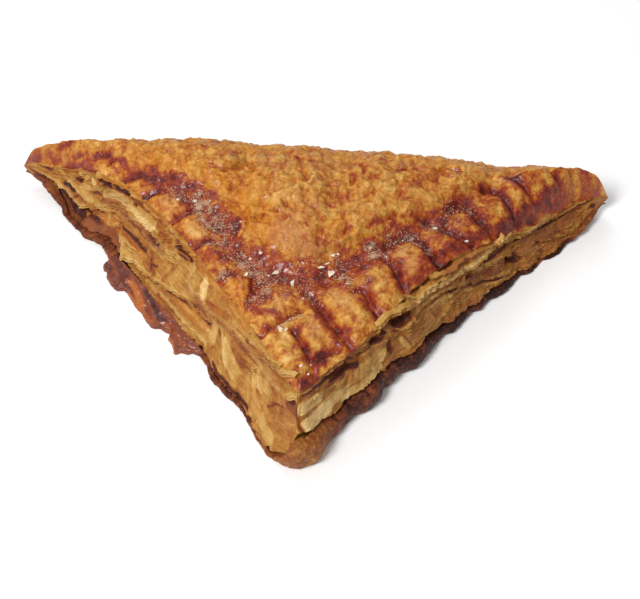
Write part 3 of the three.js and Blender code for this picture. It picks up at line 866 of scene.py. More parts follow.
def bakedCrust():
    look = crustLook
    material, tree, surface = newMaterial("baked crust")
    mottle = useGroup(tree, ovenMottle, Blotch_Scale=260.0, Speckle_Scale=1300.0)
    uneven = unevenness(tree, mottle, look["blotch"], look["speckle"])
    bake = maths(tree, "ADD", mask(tree, "bake"), uneven, True)
    colour = colourScale(tree, bake, look["browning"])
    lightSkin = maths(tree, "SUBTRACT", 1.0, between(tree, bake, 0.42, 0.62))
    for label in ("amber", "rose"):
        colour = tint(tree, colour, mask(tree, label), lightSkin, look["tintStrength"], look[label])
    dust = useGroup(tree, sugarDust, Density=mask(tree, "powder")).outputs["Mask"]
    dust = maths(tree, "MULTIPLY", dust, between(tree, mask(tree, "powder"), 0.05, 0.3))
    colour = tint(tree, colour, dust, 1.0, look["tintStrength"], look["dust"])
    tree.links.new(colour, surface.inputs["Base Color"])

    shine = between(tree, bake, 0.4, 0.66)
    rough = maths(tree, "MULTIPLY", shine, look["roughGlaze"] - look["roughSkin"])
    rough = maths(tree, "ADD", look["roughSkin"], rough)
    rough = maths(tree, "ADD", rough, maths(tree, "MULTIPLY", dust, look["roughDust"]), True)
    tree.links.new(rough, surface.inputs["Roughness"])

    buttery = between(tree, mottle.outputs["Blotch"], 0.48, 0.66)
    coat = maths(tree, "MULTIPLY", shine, look["coatGlaze"])
    coat = maths(tree, "ADD", coat, maths(tree, "MULTIPLY", buttery, look["coatButter"]))
    wet = maths(tree, "SUBTRACT", 1.0, maths(tree, "MULTIPLY", mask(tree, "dry"), look["coatDry"]))
    coat = maths(tree, "SUBTRACT", maths(tree, "MULTIPLY", coat, wet), dust, True)
    tree.links.new(coat, surface.inputs["Coat Weight"])
    setInputs(surface, Coat_Roughness=0.2, IOR=1.4, Specular_IOR_Level=0.34)
    relief = useGroup(tree, flakeRelief, Flake_Scale=340.0, Grain_Scale=1700.0)
    addBump(tree, surface, maths(tree, "ADD", relief.outputs["Height"], dust), look["bump"])
    return material


crustMaterial = bakedCrust()
makePiece("turnover_crust", crustPoints, gridFaces(*crustPoints.shape[:2]), crustMaterial, crustMasks)
print("fold: shaping")
foldPoints, foldPlan = buildFold(columnX, crest, roundY)
fx, fy = foldPlan[..., 0], foldPlan[..., 1]
lowDown = smooth(fy, 6, 22)
foldSkin, foldCrease = domeSkin(fx, fy)
# creases darken the back's browning, partly as painted shade, and its raised skin is lightened as a painted
# highlight
foldBake = 0.33 + 0.07 * noise(fx, fy, 5, 41, 3) + 0.12 * foldCrease - 0.1 * foldSkin
foldBake += 0.14 * lowDown * (0.6 + noise(fx, fy, 9, 47, 2))
foldBake += 0.09 * noise(fx, fy, 1.1, 44, 3) + 0.18 * noise(fx, fy, 3, 45, 3)
foldBake += 0.18 * smooth(np.abs(fx) + 4 * noise(fx, fy, 5, 48, 2), 62, halfFold)
zero = np.zeros_like(fx)
foldAmber = 0.4 + 0.5 * noise(fx, fy, 12, 49)
makePiece("turnover_fold", foldPoints, gridFaces(*foldPoints.shape[:2]), crustMaterial,
          {"bake": foldBake, "amber": foldAmber, "rose": zero, "powder": zero, "dry": zero})


# Each open side is worked out on a sheet of s, the length along the leg, and h, 0 at the foot and
# sheetTop level with the crust's underside.
sheetTop = 20


def newLeaf(lip, gap, above, below, *line):
    # a leaf runs along a line of s, h, s, h, ...: it stands out by lip and the side falls back by gap
    # just below it; above and below say over how many mm that dies away
    return {"lip": lip, "gap": gap, "above": above, "below": below, "line": line}


sides = {
    "columns": 450,
    "rows": 186,
    "ledgeRows": 8,
    "lipScale": 0.45,
    # how the columns crowd towards the tip, and how far the crust's torn edge hangs over the top row
    "crowding": 0.98,
    "overhang": 1.8,
    "thinLeaves": 18,
    # how far the sides are set back, and further behind the browned foot
    "cut": 0.2,
    "footCut": 1.8,
    # how far a point that stands 1 mm out slips along s and h when it is seen from above the corner
    "slip": {"left": (0.52, 0.82), "right": (0.67, 1.16)},
    "left": {
        "leaves": [
            newLeaf(0.2, [(2, 0.6), (22, 1.5), (25, 5.5), (34, 5.5), (37, 3.6), (49, 3.4), (52, 1.6),
                    (57, 4.8), (62, 4.4), (66, 1.0), (88, 0.8), (102, 0.4)], 1.5, 3.4, 2, 18.4, 15, 18.8,
                    25, 18.5, 35, 18.1, 45, 17.6, 60, 17.4, 72, 17.2, 82, 17, 88, 17.3, 95, 18.2, 102, 19),
            newLeaf(2.2, 1.2, 3.0, 1.2, 22, 19, 24, 17, 27, 14.6, 30, 13.3, 36, 13, 45, 12.8, 52, 13,
                    56, 14, 60, 15, 64, 16.3),
            newLeaf(0.7, 1.1, 0.6, 0.7, 27, 12.4, 33, 12.3, 40, 11.9, 55, 11.9, 61, 13),
            newLeaf(1.4, [(24, 0.8), (34, 1.2), (36.5, 3.8), (49, 3.6), (52, 1.2), (60, 0.8)], 1.2, 2.2,
                    24, 9, 27, 9.6, 30, 10, 34, 11, 45, 10.5, 55, 10.6, 60, 11.5),
            newLeaf(1.6, 2.0, 2.4, 3.0, 24, 7, 27, 8.2, 30, 8, 32, 6, 34, 6.6, 36, 7.2, 38, 6, 40, 4,
                    41.5, 2.2, 43, 3, 46, 4, 50, 4.5, 52, 4.3),
            newLeaf(1.4, [(50, 0.8), (56, 1.6), (66, 2.8), (76, 2.6), (79, 0.5)], 2.2, 1.2, 50, 4.2,
                    53, 4.8, 56, 5.4, 60, 6.2, 65, 7.3, 70, 8, 75, 8.3, 79, 8.5),
            newLeaf(0.8, 0.6, 0.5, 1.0, 64, 6.5, 70, 6.8, 76, 6.3, 80, 5.4),
            newLeaf(0.6, 0.8, 1.0, 0.8, 50, 3.2, 58, 3.5, 66, 3.6, 72, 3.2, 80, 2.6),
            newLeaf(1.3, 1.1, 2.0, 1.0, 64, 10.6, 72, 10.5, 78, 10.8, 82, 11.8, 86, 12.8, 92, 13.6, 97, 15,
                    102, 17, 106, 19, 111, 21.5),
            newLeaf(0.7, 0.8, 0.7, 1.0, 80, 10.4, 85, 11.6, 90, 12.6, 95, 13, 100, 13.6, 104, 15,
                    110, 16.5, 114, 17.5),
            newLeaf(0.6, 0.6, 1.4, 0.5, 84, 14.6, 90, 15.3, 96, 17, 101, 18.6, 106, 20),
            newLeaf(1.0, 1.0, 2.5, 1.6, 77, 9.4, 81, 9.2, 83, 8.4, 85, 7.6, 87, 6, 90, 4.6, 93, 4),
            newLeaf(1.0, 2.0, 1.5, 1.1, 12, 11.8, 14, 11.6, 17, 11, 20, 10, 23, 8.6),
            newLeaf(1.3, [(2, 1.0), (9, 2.0), (12, 4.6), (24, 5.2), (26, 2.0)], 1.6, 3.2, 2, 10.5, 6, 10.2,
                    9, 9, 12, 8, 16, 7, 20, 6.4, 24, 7.2),
            newLeaf(0.7, 0.9, 1.0, 1.0, 16, 18.4, 20, 17, 22, 15, 24, 12.6, 26, 10.4),
            newLeaf(0.7, 0.9, 1.5, 1.0, 4, 19, 8, 17, 11, 15.2, 14, 14.6),
            newLeaf(0.6, 1.0, 0.8, 0.8, 18, 14, 22, 12.4, 25, 12.6, 28, 11.4),
            newLeaf(0.4, 0.3, 2.5, 2.0, 94, 9, 98, 11.4, 101, 9.5, 104, 8.4),
        ],
        # hollows: s, h, half length, half height, depth
        "hollows": [
            (60.5, 15.7, 3.4, 1.3, 4.5), (53, 14.9, 2.0, 0.8, 2.0), (37, 12.1, 1.1, 0.35, 1.6),
            (43, 12, 0.9, 0.35, 1.6), (48.8, 12.1, 1.6, 0.4, 2.0), (51.5, 12.2, 0.8, 0.35, 1.4),
            (15, 11, 2.4, 0.9, 2.5), (18, 15.6, 1.3, 0.9, 1.4), (25.5, 13.5, 2.0, 0.7, 1.8),
            (18, 5.0, 7.0, 2.0, 3.4), (112.8, 16.6, 0.9, 0.7, 0.8), (112, 9, 5.0, 6.0, 1.0),
            (94, 10.2, 3.2, 1.2, 0.7), (6, 8.4, 3.4, 1.4, 1.4),
        ],
    },
    "right": {
        "leaves": [
            newLeaf(0.1, [(3, 0.6), (70, 0.6), (73, 3.0), (79, 3.0), (81.5, 2.6), (87, 2.4), (90, 0.8),
                    (93, 1.8), (102, 1.6), (105, 0.6)], 1.5, 2.2, 3, 15, 20, 15, 30, 16.4, 38, 17.4,
                    46, 18.6, 110, 18.6),
            newLeaf(1.3, [(5, 1.4), (30, 2.0), (44, 2.2), (50, 1.0), (66, 0.8), (72, 1.5), (74, 2.8),
                    (79, 2.6)], 2.2, 1.4, 5, 14.6, 8, 13.6, 14, 13.2, 22, 13.6, 30, 14.1, 34, 14.6,
                    38, 15.4, 41, 15.4, 46, 14.2, 50, 14, 56, 14.9, 62, 15.8, 68, 16.6, 72, 17.3, 76, 18.6,
                    79, 19),
            newLeaf(0.9, [(36, 0.8), (46, 1.6), (60, 1.8), (70, 1.2), (78, 0.6)], 0.9, 1.6, 36, 4, 38, 4.6,
                    42, 6, 47, 7.6, 50, 8.7, 53, 10.7, 56, 12.2, 58, 13, 62, 14, 66, 14.2, 70, 13.6,
                    74, 13.8, 78, 13.4),
            newLeaf(0.9, 1.4, 1.2, 2.2, 32, 4.6, 34, 7, 36, 9.8, 38, 11.2, 44, 11.7, 50, 12.5, 53, 13.6),
            newLeaf(0.9, 0.9, 3.0, 0.7, 38, 18.6, 41, 16.4, 43, 15.4, 50, 15.2, 58, 15.9, 64, 16.8, 70, 18,
                    73, 20),
            newLeaf(1.0, 1.0, 1.2, 0.8, 34, 17.2, 37, 17, 40, 17.4),
            newLeaf(0.7, 0.5, 1.2, 0.6, 18, 16.2, 24, 15.4, 32, 15.6),
            newLeaf(0.8, 0.5, 0.6, 0.8, 80, 13.6, 82, 14.2, 84, 14.7, 88, 15.6, 92, 16.2, 96, 16.6),
            newLeaf(1.0, 1.0, 0.8, 1.6, 72, 17.6, 76, 18.6, 80, 19.6, 84, 18.6),
            newLeaf(0.7, [(82, 1.0), (91, 0.6), (93, 1.4), (102, 1.2), (105, 0.4)], 0.8, 1.4, 82, 17.2,
                    88, 16.9, 94, 16.8, 104, 17, 110, 18),
            newLeaf(0.5, 0.6, 1.5, 0.8, 81, 12, 84, 9, 86, 8.6, 90, 9.4),
            newLeaf(0.5, 0.7, 1.6, 1.4, 14, 2.4, 18, 5, 24, 7.6, 27, 10.6),
            newLeaf(0.4, 0.5, 0.8, 1.0, 52, 10.2, 58, 10.6, 64, 12, 72, 11.6, 79, 12.4),
            newLeaf(0.4, 0.3, 1.8, 1.8, 94, 13.2, 98, 12.2, 102, 13.6, 106, 14.6, 110, 15.4),
        ],
        "hollows": [
            (36, 8.2, 3.0, 2.4, 2.4), (46, 9.6, 5.0, 1.8, 1.2), (51.4, 12.0, 1.5, 1.0, 1.2),
            (58, 12.7, 1.8, 0.6, 2.0), (76, 16.2, 3.4, 1.5, 2.6), (84, 16.2, 2.8, 1.2, 2.2),
            (97, 15.4, 4.0, 1.1, 1.4), (81, 11, 1.2, 2.0, 1.2), (5.4, 8.4, 1.2, 2.2, 1.8),
            (7, 14, 1.9, 0.8, 1.6), (112.3, 13, 0.5, 3.5, 0.7), (19, 7.0, 3.4, 1.0, 0.8),
        ],
    },
}


def heightScale(s):
    # millimetres of height to one of h, as 1 mm along a leg is 0.67 mm along the fold
    return edgeHeight(halfFold - 0.67 * s) / sheetTop


def cornerEnd(side, t):
    # where this side's sheet meets the other one at the front corner, found by closing in on it
    tip, way, inward, _ = legFrame(side)
    end = np.full(np.shape(t), 112.0)
    for _ in range(30):
        x = tip[0] + end * way[0] + table(plan[side]["inset"], end) * t * inward[0]
        end += (mix(plan["cornerFoot"][0], plan["cornerTop"][0], t) - x) / way[0] * 0.8
    return end


def wallPlace(side, s, t, depth):
    # a point of the sheet in space, standing out by depth
    inward = legFrame(side)[2]
    end = cornerEnd(side, np.clip(t, 0, 1))
    bottom = onLeg(side, s, (table(plan[side]["foot"], s) + 0.3) * smooth(s, 0, 8))
    top = onLeg(side, s, table(plan[side]["inset"], s))
    outward = unit(-mix(cornerLean(side), inward, smooth(end - s, 0, 6)[..., None]))
    corner = np.stack([mix(plan["cornerFoot"][k], plan["cornerTop"][k], t) for k in (0, 1)], -1)
    flat = mix(corner, mix(bottom, top, t[..., None]), smooth(end - s, 0, 5)[..., None])
    # near the tips nothing reaches back as far as the fold
    room = np.maximum(-flat[..., 1] - 0.8, 0) / inward[1]
    flat = flat + outward * np.maximum(depth, -0.75 * room)[..., None]
    z = mix(tipLift(top[..., 0]) * smooth(s, 0, 3) + 0.3, edgeHeight(top[..., 0]), t)
    return bluntTips(np.concatenate([flat, z[..., None]], -1), tipMiddle(top[..., 0]), 0.25)


def sideRelief(side, s, h, scale):
    # depth; the crevice mask, painted shade under the leaves' lips and in the hollows; and rim, a painted
    # highlight along each leaf's edge
    depth, creviceShade, rim = np.zeros(np.shape(s)), np.zeros(np.shape(s)), np.zeros(np.shape(s))
    wander = 0.3 * noise(s, h, 4.0, 50, 3)
    seed = 60 if side == "left" else 80
    for leaf in sides[side]["leaves"]:
        out = sides["lipScale"] * leaf["lip"]
        ls = np.array(leaf["line"][0::2]) + sides["slip"][side][0] * out
        lh = np.array(leaf["line"][1::2]) + sides["slip"][side][1] * out
        q = (h - np.interp(s, ls, lh)) * scale + wander
        fade = smooth(s, ls[0] - 0.5, ls[0] + 2.5) * (1 - smooth(s, ls[-1] - 2.5, ls[-1] + 0.5))
        gap = table(leaf["gap"], s) if isinstance(leaf["gap"], list) else leaf["gap"]
        step = smooth(q, -0.14, 0.14)
        ragged = 1 + 0.6 * noise(s, h * 0.5, 2.2, seed, 3)
        depth += fade * out * ragged * step * np.exp(-np.maximum(q, 0) / leaf["above"])
        depth -= fade * gap * (1 - step) * np.exp(np.minimum(q, 0) / leaf["below"])
        # painted shade under the leaf's lip, darker where the side falls back further
        shade = np.clip(gap / 1.8, 0.3, 1) * np.exp(np.minimum(q, 0) / (0.6 + 0.35 * gap))
        creviceShade = np.maximum(creviceShade, fade * shade * (1 - step))
        # painted highlight along the leaf's edge, just above its line
        rim = np.maximum(rim, fade * bell(q - 0.24, 0.24))
        seed += 1
    for hs, hh, halfLength, halfHeight, deep in sides[side]["hollows"]:
        r = np.hypot((s - hs) / halfLength + 0.3 * noise(s, h, 1.5, 58), (h - hh + wander) / halfHeight)
        depth -= deep * (1 - smooth(r, 0.6, 1.15))
        # painted shade in the deeper hollows
        creviceShade = np.maximum(creviceShade, 0.8 * smooth(deep, 0.7, 2.8) * (1 - smooth(r, 0.3, 1.1)))
    # thin leaves between the big ones, each with painted shade under it and a painted highlight on its edge,
    # and the crumpled papery skin
    for k in range(sides["thinLeaves"]):
        level = 0.8 + 1.15 * k + 1.3 * noise(s, s * 0 + 7.3 * k, 24, seed + k, 2)
        level = level + 0.25 * noise(s, s * 0 + 5.1 * k, 3, seed + 60 + k, 2)
        q = h - level + 0.6 * wander
        present = smooth(noise(s, s * 0 + 3.1 * k, 10, seed + 20 + k, 2), -0.1, 0.25)
        present = present * (1 - 0.8 * smooth(s, 56, 86))
        step = smooth(q, -0.09, 0.09)
        stands, falls = step * np.exp(-np.maximum(q, 0) / 0.8), (1 - step) * np.exp(np.minimum(q, 0) / 0.45)
        depth += present * (0.3 * stands - 0.4 * falls)
        creviceShade = np.maximum(creviceShade, present * 0.6 * (1 - step) * np.exp(np.minimum(q, 0) / 0.42))
        rim = np.maximum(rim, 0.7 * present * bell(q - 0.18, 0.16))
    big, border = facets(s + 1.5 * noise(s, h, 5, seed + 44, 2), h * 1.5, 6.5, seed + 45)
    small, borderSmall = facets(s + 0.5 * noise(s, h, 2, seed + 46), h * 1.6, 2.6, seed + 47)
    depth += 0.4 * big * smooth(border, 0, 0.1) + 0.16 * small
    depth -= 0.42 * ridges(s + 0.35 * h, h * 0.22, 3.4, seed + 48, 2) ** 3
    depth -= 0.16 * (1 - smooth(border, 0, 0.12)) + 0.07 * (1 - smooth(borderSmall, 0, 0.15))
    depth += 0.22 * noise(s, h * 0.35, 2.2, seed + 41, 3) + 0.4 * noise(s, h, 8, seed + 42, 2)
    depth += 0.08 * noise(s * 0.4, h, 0.7, seed + 43, 2)
    return depth, creviceShade, rim * (1 - creviceShade)


def sideDepth(side, s, h):
    # the relief, calmed at both ends and cut back behind the browned foot, where the side also gets painted
    # shade
    depth, creviceShade, rim = sideRelief(side, s, h, heightScale(s))
    end = cornerEnd(side, np.clip(h / sheetTop, 0, 1))
    atCorner = smooth(end - s, 0, 4)
    depth *= smooth(end - s, 0, 3.0) * smooth(s, 1, 10)
    brown = table(plan[side]["brown"], s)
    below = 1 - smooth(h - brown + 0.25 * noise(s, h, 1.8, 57, 2), -0.25, 0.3)
    depth = depth - sides["cut"] - sides["footCut"] * below * smooth(s, 3, 9) * atCorner
    return depth, np.maximum(creviceShade, 0.5 * below * atCorner), rim * (1 - below)


def buildSide(side):
    rows, ledge, columns = sides["rows"], sides["ledgeRows"], sides["columns"]
    c = np.linspace(0, 1, columns)[None, :] * np.ones((rows + ledge, 1))
    v = np.concatenate([np.linspace(0, 1, rows), np.ones(ledge)])[:, None] * np.ones((1, columns))
    further = np.concatenate([np.zeros(rows), np.linspace(0.5, 4.5, ledge)])[:, None] * np.ones((1, columns))
    s = c ** sides["crowding"] * cornerEnd(side, v)
    t = v * (table(plan[side]["lip"], s) - sides["overhang"] / plan["edgeHeight"])
    s = c ** sides["crowding"] * cornerEnd(side, t)
    h = t * sheetTop
    depth, creviceShade, rim = sideDepth(side, s, h)
    # tuck the top row in under the crust's torn edge
    inset = mix(table(plan[side]["foot"], s) + 0.3, table(plan[side]["inset"], s), t)
    tucked = -(table(plan[side]["crust"], s) + 1.0 - inset) * smooth(s, 0, 8)
    depth = mix(depth, np.minimum(depth, tucked), smooth(v, 0.965, 1.0))
    points = wallPlace(side, s, t, depth - further * smooth(s, 0, 12))
    masks = sideColour(side, s, h, depth)
    # painted highlight: the bake is lightened along the leaves' edges
    masks["bake"] -= 0.28 * rim
    masks["creviceShade"] = creviceShade
    return points, masks


# browning of the open sides, on the same s, h sheet; the dark bake dabs in the pockets, along the leaf lines
# and under the crust's edge are painted shade as well as browning
sidePaint = {
    "left": {
        "bake": [
            (0.5, 5, 2, 12, 4, 9), (0.45, 4, 5, 13, 6, 10), (0.64, 2.6, 3, 8, 9, 8.4),
            (0.7, 1.4, 5, 17.5, 8, 15.5), (0.62, 1.4, 2, 19, 5, 18), (0.48, 4, 12, 16, 14, 12),
            (0.4, 3, 9, 19, 11, 15), (0.5, 0.8, 8.5, 20, 11, 15.5), (0.36, 2, 13, 13.6, 17, 12.4),
            (0.88, 1.3, 13.5, 11, 17.5, 10.3), (0.74, 1.2, 17, 15.7, 18.5, 15.5),
            (0.2, 1.6, 18, 17.8, 20, 17.2), (0.18, 1.2, 22, 17.5, 23, 16), (0.25, 2, 20, 13, 24, 10.5),
            (0.3, 2, 20, 8.5, 22, 7.8), (0.62, 1.0, 18, 8, 19.5, 9.6), (0.66, 1.1, 24, 13.3, 27, 13.7),
            (0.34, 2, 12, 8.6, 16, 8.2), (0.66, 1.6, 8, 4.6, 14, 3.4, 20, 2, 26, 1.5),
            (0.98, 3.4, 12, 6.2, 16, 5.4, 20, 4.6, 23, 4), (0.9, 1.6, 11, 6.6, 14, 6),
            (0.85, 0.9, 24, 6.9, 30, 6.6), (0.56, 3.6, 26, 4, 32, 4.4, 38, 4),
            (0.72, 1.4, 26, 5.9, 30, 5.9), (0.7, 1.2, 27, 1.5, 33, 2.2, 38, 2.6),
            (0.88, 1.6, 24.5, 18, 28, 17.8, 32, 17.6, 35, 17.2), (0.74, 1.2, 26, 16.8, 31, 16.5, 34, 16.5),
            (0.22, 2.6, 28, 14.8, 35, 15), (0.22, 3, 38, 15.2, 47, 14.8), (0.14, 1.0, 41, 13.9, 47, 13.6),
            (0.72, 0.6, 38.5, 16, 39.5, 16), (0.52, 0.8, 36, 16.9, 44, 16.6),
            (0.7, 1.2, 51, 14.6, 54.5, 15.3), (0.28, 0.9, 52, 16.6, 54, 16),
            (0.86, 2.2, 57.8, 16.4, 60, 15.5, 63.5, 16.2), (0.92, 0.8, 57.5, 16.8, 62, 17),
            (0.38, 0.4, 58, 14.8, 63, 15.6), (0.36, 0.3, 59, 16.2, 62.5, 16.5),
            (0.54, 1.5, 28, 12, 36, 12, 45, 12, 54, 12.2), (0.88, 0.5, 36.6, 12, 37.6, 11.8),
            (0.86, 0.45, 42.6, 12, 44, 12), (0.9, 0.6, 46.8, 12.1, 50.4, 12),
            (0.86, 0.5, 51.2, 12.3, 52, 12.1), (0.72, 0.35, 38, 11.4, 50, 11.2),
            (0.28, 0.7, 26, 9.8, 34, 11, 45, 10.7, 55, 10.8), (0.6, 0.5, 26, 9, 30, 9.2, 33, 10.2),
            (0.8, 0.9, 36.5, 9.1, 42, 8.9, 48.5, 8.9), (0.6, 1.2, 37, 8, 46, 8),
            (0.34, 2.4, 40, 6.2, 48, 6.2), (0.28, 1.4, 42, 4.8, 46, 4.6),
            (0.34, 1.5, 30.5, 7.6, 33, 6.8, 35, 7.6), (0.5, 2.6, 51, 9, 54, 6),
            (0.72, 0.4, 51.5, 9, 53, 6.5), (0.7, 0.35, 54, 7, 54.5, 5), (0.7, 0.35, 52.4, 8, 54.4, 8.2),
            (0.36, 3, 57, 9, 62, 11), (0.46, 0.8, 58, 7, 60, 12), (0.31, 3, 64, 14, 70, 14),
            (0.16, 2.6, 71, 15, 72, 12.6), (0.38, 2, 75, 16, 80, 15), (0.44, 0.4, 67, 16, 66.5, 13),
            (0.44, 0.4, 75, 16.6, 74.4, 13.4), (0.46, 0.4, 78.5, 16.5, 78, 14),
            (0.44, 0.4, 70, 15.8, 69.6, 12.5), (0.62, 1.4, 74.5, 11.8, 77.5, 12.4),
            (0.5, 1.8, 78, 12.5, 82, 13), (0.84, 0.5, 52, 4.7, 56, 5.5, 60, 6.3, 65, 7.3),
            (0.76, 1.4, 66, 7.6, 72, 8.6, 78, 8.6), (0.68, 0.9, 72, 9.5, 78, 9),
            (0.2, 0.5, 66, 6.5, 71, 6.9, 76, 6.4), (0.42, 2, 60, 4.4, 66, 5, 72, 5.2),
            (0.52, 0.7, 58, 3.6, 68, 3.4), (0.36, 2, 74, 4, 80, 5), (0.22, 2.4, 79.5, 9, 80.5, 6.4),
            (0.62, 0.8, 82, 9.2, 84.5, 7.8, 86.5, 6.2), (0.56, 0.5, 87, 6, 90, 4.6),
            (0.28, 4, 86, 8.5, 92, 7), (0.36, 3, 94, 5, 99, 5), (0.55, 1.7, 91, 9.8, 96, 10.4),
            (0.5, 1.2, 89, 10, 92, 9.6), (0.3, 3, 100, 10, 104, 12), (0.32, 2.5, 100, 7, 104, 5),
            (0.22, 0.4, 97, 11, 100, 7), (0.5, 1.5, 80, 11, 86, 12.8, 92, 13.6, 98, 15.4, 103, 17.6),
            (0.62, 0.45, 78, 10.8, 84, 12, 88, 13.4, 91, 13.6),
            (0.64, 0.45, 92, 15, 97, 15.6, 101, 17.2, 105, 19.4),
            (0.6, 0.45, 90, 12.4, 96, 12.9, 99, 13.4), (0.38, 1.4, 92, 16.2, 97, 17.6),
            (0.45, 2.2, 104, 18.4, 110, 20), (0.44, 3, 108, 10, 112, 11, 115, 14),
            (0.6, 2, 113, 15.6, 117, 14), (0.82, 0.9, 113, 16.4, 113.8, 16.8),
            (0.62, 0.5, 107, 9.4, 110, 12.8, 112, 13.6), (0.42, 3, 112, 7, 116, 9),
            (0.28, 3, 106, 5, 111, 3.5), (0.2, 2.5, 117, 18, 119, 15), (0.66, 0.3, 60, 17.4, 72, 17.3),
            (0.64, 0.3, 40, 18, 52, 17.6), (0.76, 1.0, 84, 2.4, 92, 2.3, 100, 2),
        ],
        "rose": [
            (0.7, 1.6, 28, 12, 54, 12.1), (0.5, 3, 28, 15.4, 35, 15.4), (0.6, 3, 27, 4, 38, 4.4),
            (0.8, 1.5, 66, 10.3, 80, 11, 92, 13.6, 103, 17.6, 110, 20), (0.5, 1.2, 90, 12.6, 110, 16.8),
            (0.25, 3, 112, 9, 115, 14), (0.5, 1.5, 73, 8.8, 79, 8.8), (0.5, 2, 14, 9.6, 22, 8.4),
        ],
        "amber": [
            (1, 1.0, 37, 8.6, 48, 8), (1, 1.4, 30.5, 7.4, 35, 7.4), (0.8, 1.2, 66, 7.4, 78, 8),
            (1, 0.6, 66, 6.5, 76, 6.4), (0.5, 1.6, 74, 11.8, 80, 12.6), (0.5, 3, 100, 7, 104, 5),
            (0.6, 2.5, 62, 17.6, 90, 17.2), (0.6, 1.2, 24, 18.2, 35, 17.4), (0.5, 1.5, 57, 16.4, 63, 16),
            (0.5, 2, 51, 14.8, 55, 15.2), (0.5, 1.4, 13, 10.8, 18, 10.4), (0.6, 0.8, 28, 19, 50, 17.9),
        ],
    },
    "right": {
        "bake": [
            (0.42, 2.4, 2.6, 12, 3.6, 6), (0.82, 1.4, 5, 7.5, 5.4, 10), (0.34, 1.2, 6.6, 12.5, 7.4, 9.5),
            (0.6, 3, 6, 4, 9, 2.5), (0.95, 1.3, 5.5, 14.4, 8.5, 13.4),
            (0.62, 2.2, 9, 15.2, 20, 15, 24, 15), (0.8, 0.9, 9, 13.5, 18, 13.5, 27, 13.7),
            (0.92, 0.6, 28, 14, 34, 14.4), (0.92, 0.7, 38, 15, 46, 14), (0.52, 5, 12, 9, 20, 9),
            (0.44, 3, 10, 6, 14, 8), (0.58, 2.6, 17, 6, 24, 9), (0.64, 0.5, 14, 3, 20, 6),
            (0.42, 0.5, 12, 3, 17, 7), (0.6, 1.6, 25.5, 4, 26, 9), (0.46, 2.5, 22, 3, 24, 5),
            (0.48, 3, 28, 10, 31, 12), (0.46, 3, 27, 6, 31, 4), (0.36, 1.6, 21, 16, 28, 16.6, 33, 17),
            (0.4, 1.0, 19, 15.4, 26, 15.2), (0.14, 1.2, 37, 18.4, 39, 17.6), (0.2, 1, 40, 19.2, 42, 18.6),
            (0.5, 4, 46, 19, 56, 19.5), (0.26, 1.6, 44, 16.6, 52, 16, 60, 16.6),
            (0.58, 1.8, 52, 18, 53, 20), (0.58, 1.8, 58, 19, 59, 21), (0.22, 2, 62, 17.6, 68, 18.6),
            (0.18, 0.8, 66, 17, 72, 18), (0.44, 1.0, 36, 13.2, 44, 12.9, 50, 13.6),
            (0.76, 2.4, 34, 7, 37, 9.6), (0.62, 2.4, 41, 8.5, 46, 9, 51, 11),
            (0.44, 1.0, 45, 9.8, 47.4, 9.8), (0.76, 0.9, 50, 12, 52.6, 12.8),
            (0.84, 0.5, 38, 4.7, 43, 6.2, 48, 7.9, 52, 10, 56, 12.1, 60, 13.5, 64, 14.9),
            (0.9, 1.2, 56.6, 12.5, 59.4, 13.1),
            (0.24, 0.7, 40, 4.5, 46, 6, 50, 7.2, 54, 9.6, 58, 11, 62, 12.4),
            (0.42, 3, 48, 6, 56, 7, 62, 8.5), (0.5, 0.8, 54, 10, 58, 10.6), (0.46, 4, 64, 9, 72, 10),
            (0.32, 1.4, 60, 12.4, 64, 12.6), (0.6, 0.4, 60, 14.4, 66, 13.4, 71, 13.2, 78, 13.2),
            (0.36, 0.9, 60, 15.2, 70, 15), (0.43, 2, 66, 8, 76, 8), (0.28, 1.4, 76, 8, 77.5, 11),
            (0.66, 0.45, 75, 8, 77, 12), (0.84, 2.3, 74.5, 16.6, 78.5, 16.8),
            (0.74, 1.1, 74, 15.2, 79, 14.9), (0.8, 1.8, 82, 16.6, 84, 15.8, 87, 16.4),
            (0.66, 1.0, 84, 15, 88, 15.9), (0.82, 1.7, 93, 14.8, 96, 15.8, 101, 15.4),
            (0.62, 1.2, 97, 14.2, 103, 14.8), (0.26, 0.5, 74, 17.8, 79, 18.8),
            (0.18, 1.5, 60, 17.3, 68, 17.5, 73, 18), (0.26, 0.5, 80.4, 14, 80.8, 16, 82.4, 18),
            (0.28, 0.4, 82, 14.1, 87, 15.4, 91, 16.2), (0.72, 0.4, 83, 17.5, 92, 17),
            (0.46, 0.8, 82, 18.4, 92, 18), (0.54, 1.2, 93, 18, 106, 18),
            (0.84, 0.5, 96, 17.3, 103, 17.2, 108, 17.6), (0.68, 1.5, 81, 9.6, 82, 12.6),
            (0.62, 0.5, 85, 8.6, 89, 9.2), (0.3, 4, 85, 11, 92, 12), (0.2, 2.6, 86, 7.9, 92, 8.2, 98, 8),
            (0.24, 4, 98, 11, 104, 10), (0.1, 4, 104, 9.5, 110, 10), (0.18, 3, 106, 14, 110, 15),
            (0.44, 2.6, 96, 12, 100, 13), (0.68, 0.6, 112, 16, 112.2, 8), (0.48, 3, 114, 14, 117, 12),
            (0.62, 1.5, 113.5, 16, 114, 14.4), (0.28, 3, 114, 9.4, 118, 10), (0.27, 3, 117, 15, 120, 17),
        ],
        "rose": [
            (0.7, 2.4, 9, 15, 24, 15), (0.8, 2.6, 40, 9, 51, 11), (0.9, 1.4, 93, 18, 108, 18),
            (0.5, 2, 60, 16, 78, 17), (0.5, 5, 14, 10, 30, 12), (0.5, 3, 46, 19, 60, 20),
            (0.4, 3, 34, 8, 38, 10), (0.4, 3, 64, 10, 74, 9),
        ],
        "amber": [(0.6, 1.2, 36, 18, 42, 18.6), (0.4, 1.2, 94, 7, 100, 6.4), (0.3, 2, 28, 11, 34, 9)],
    },
}
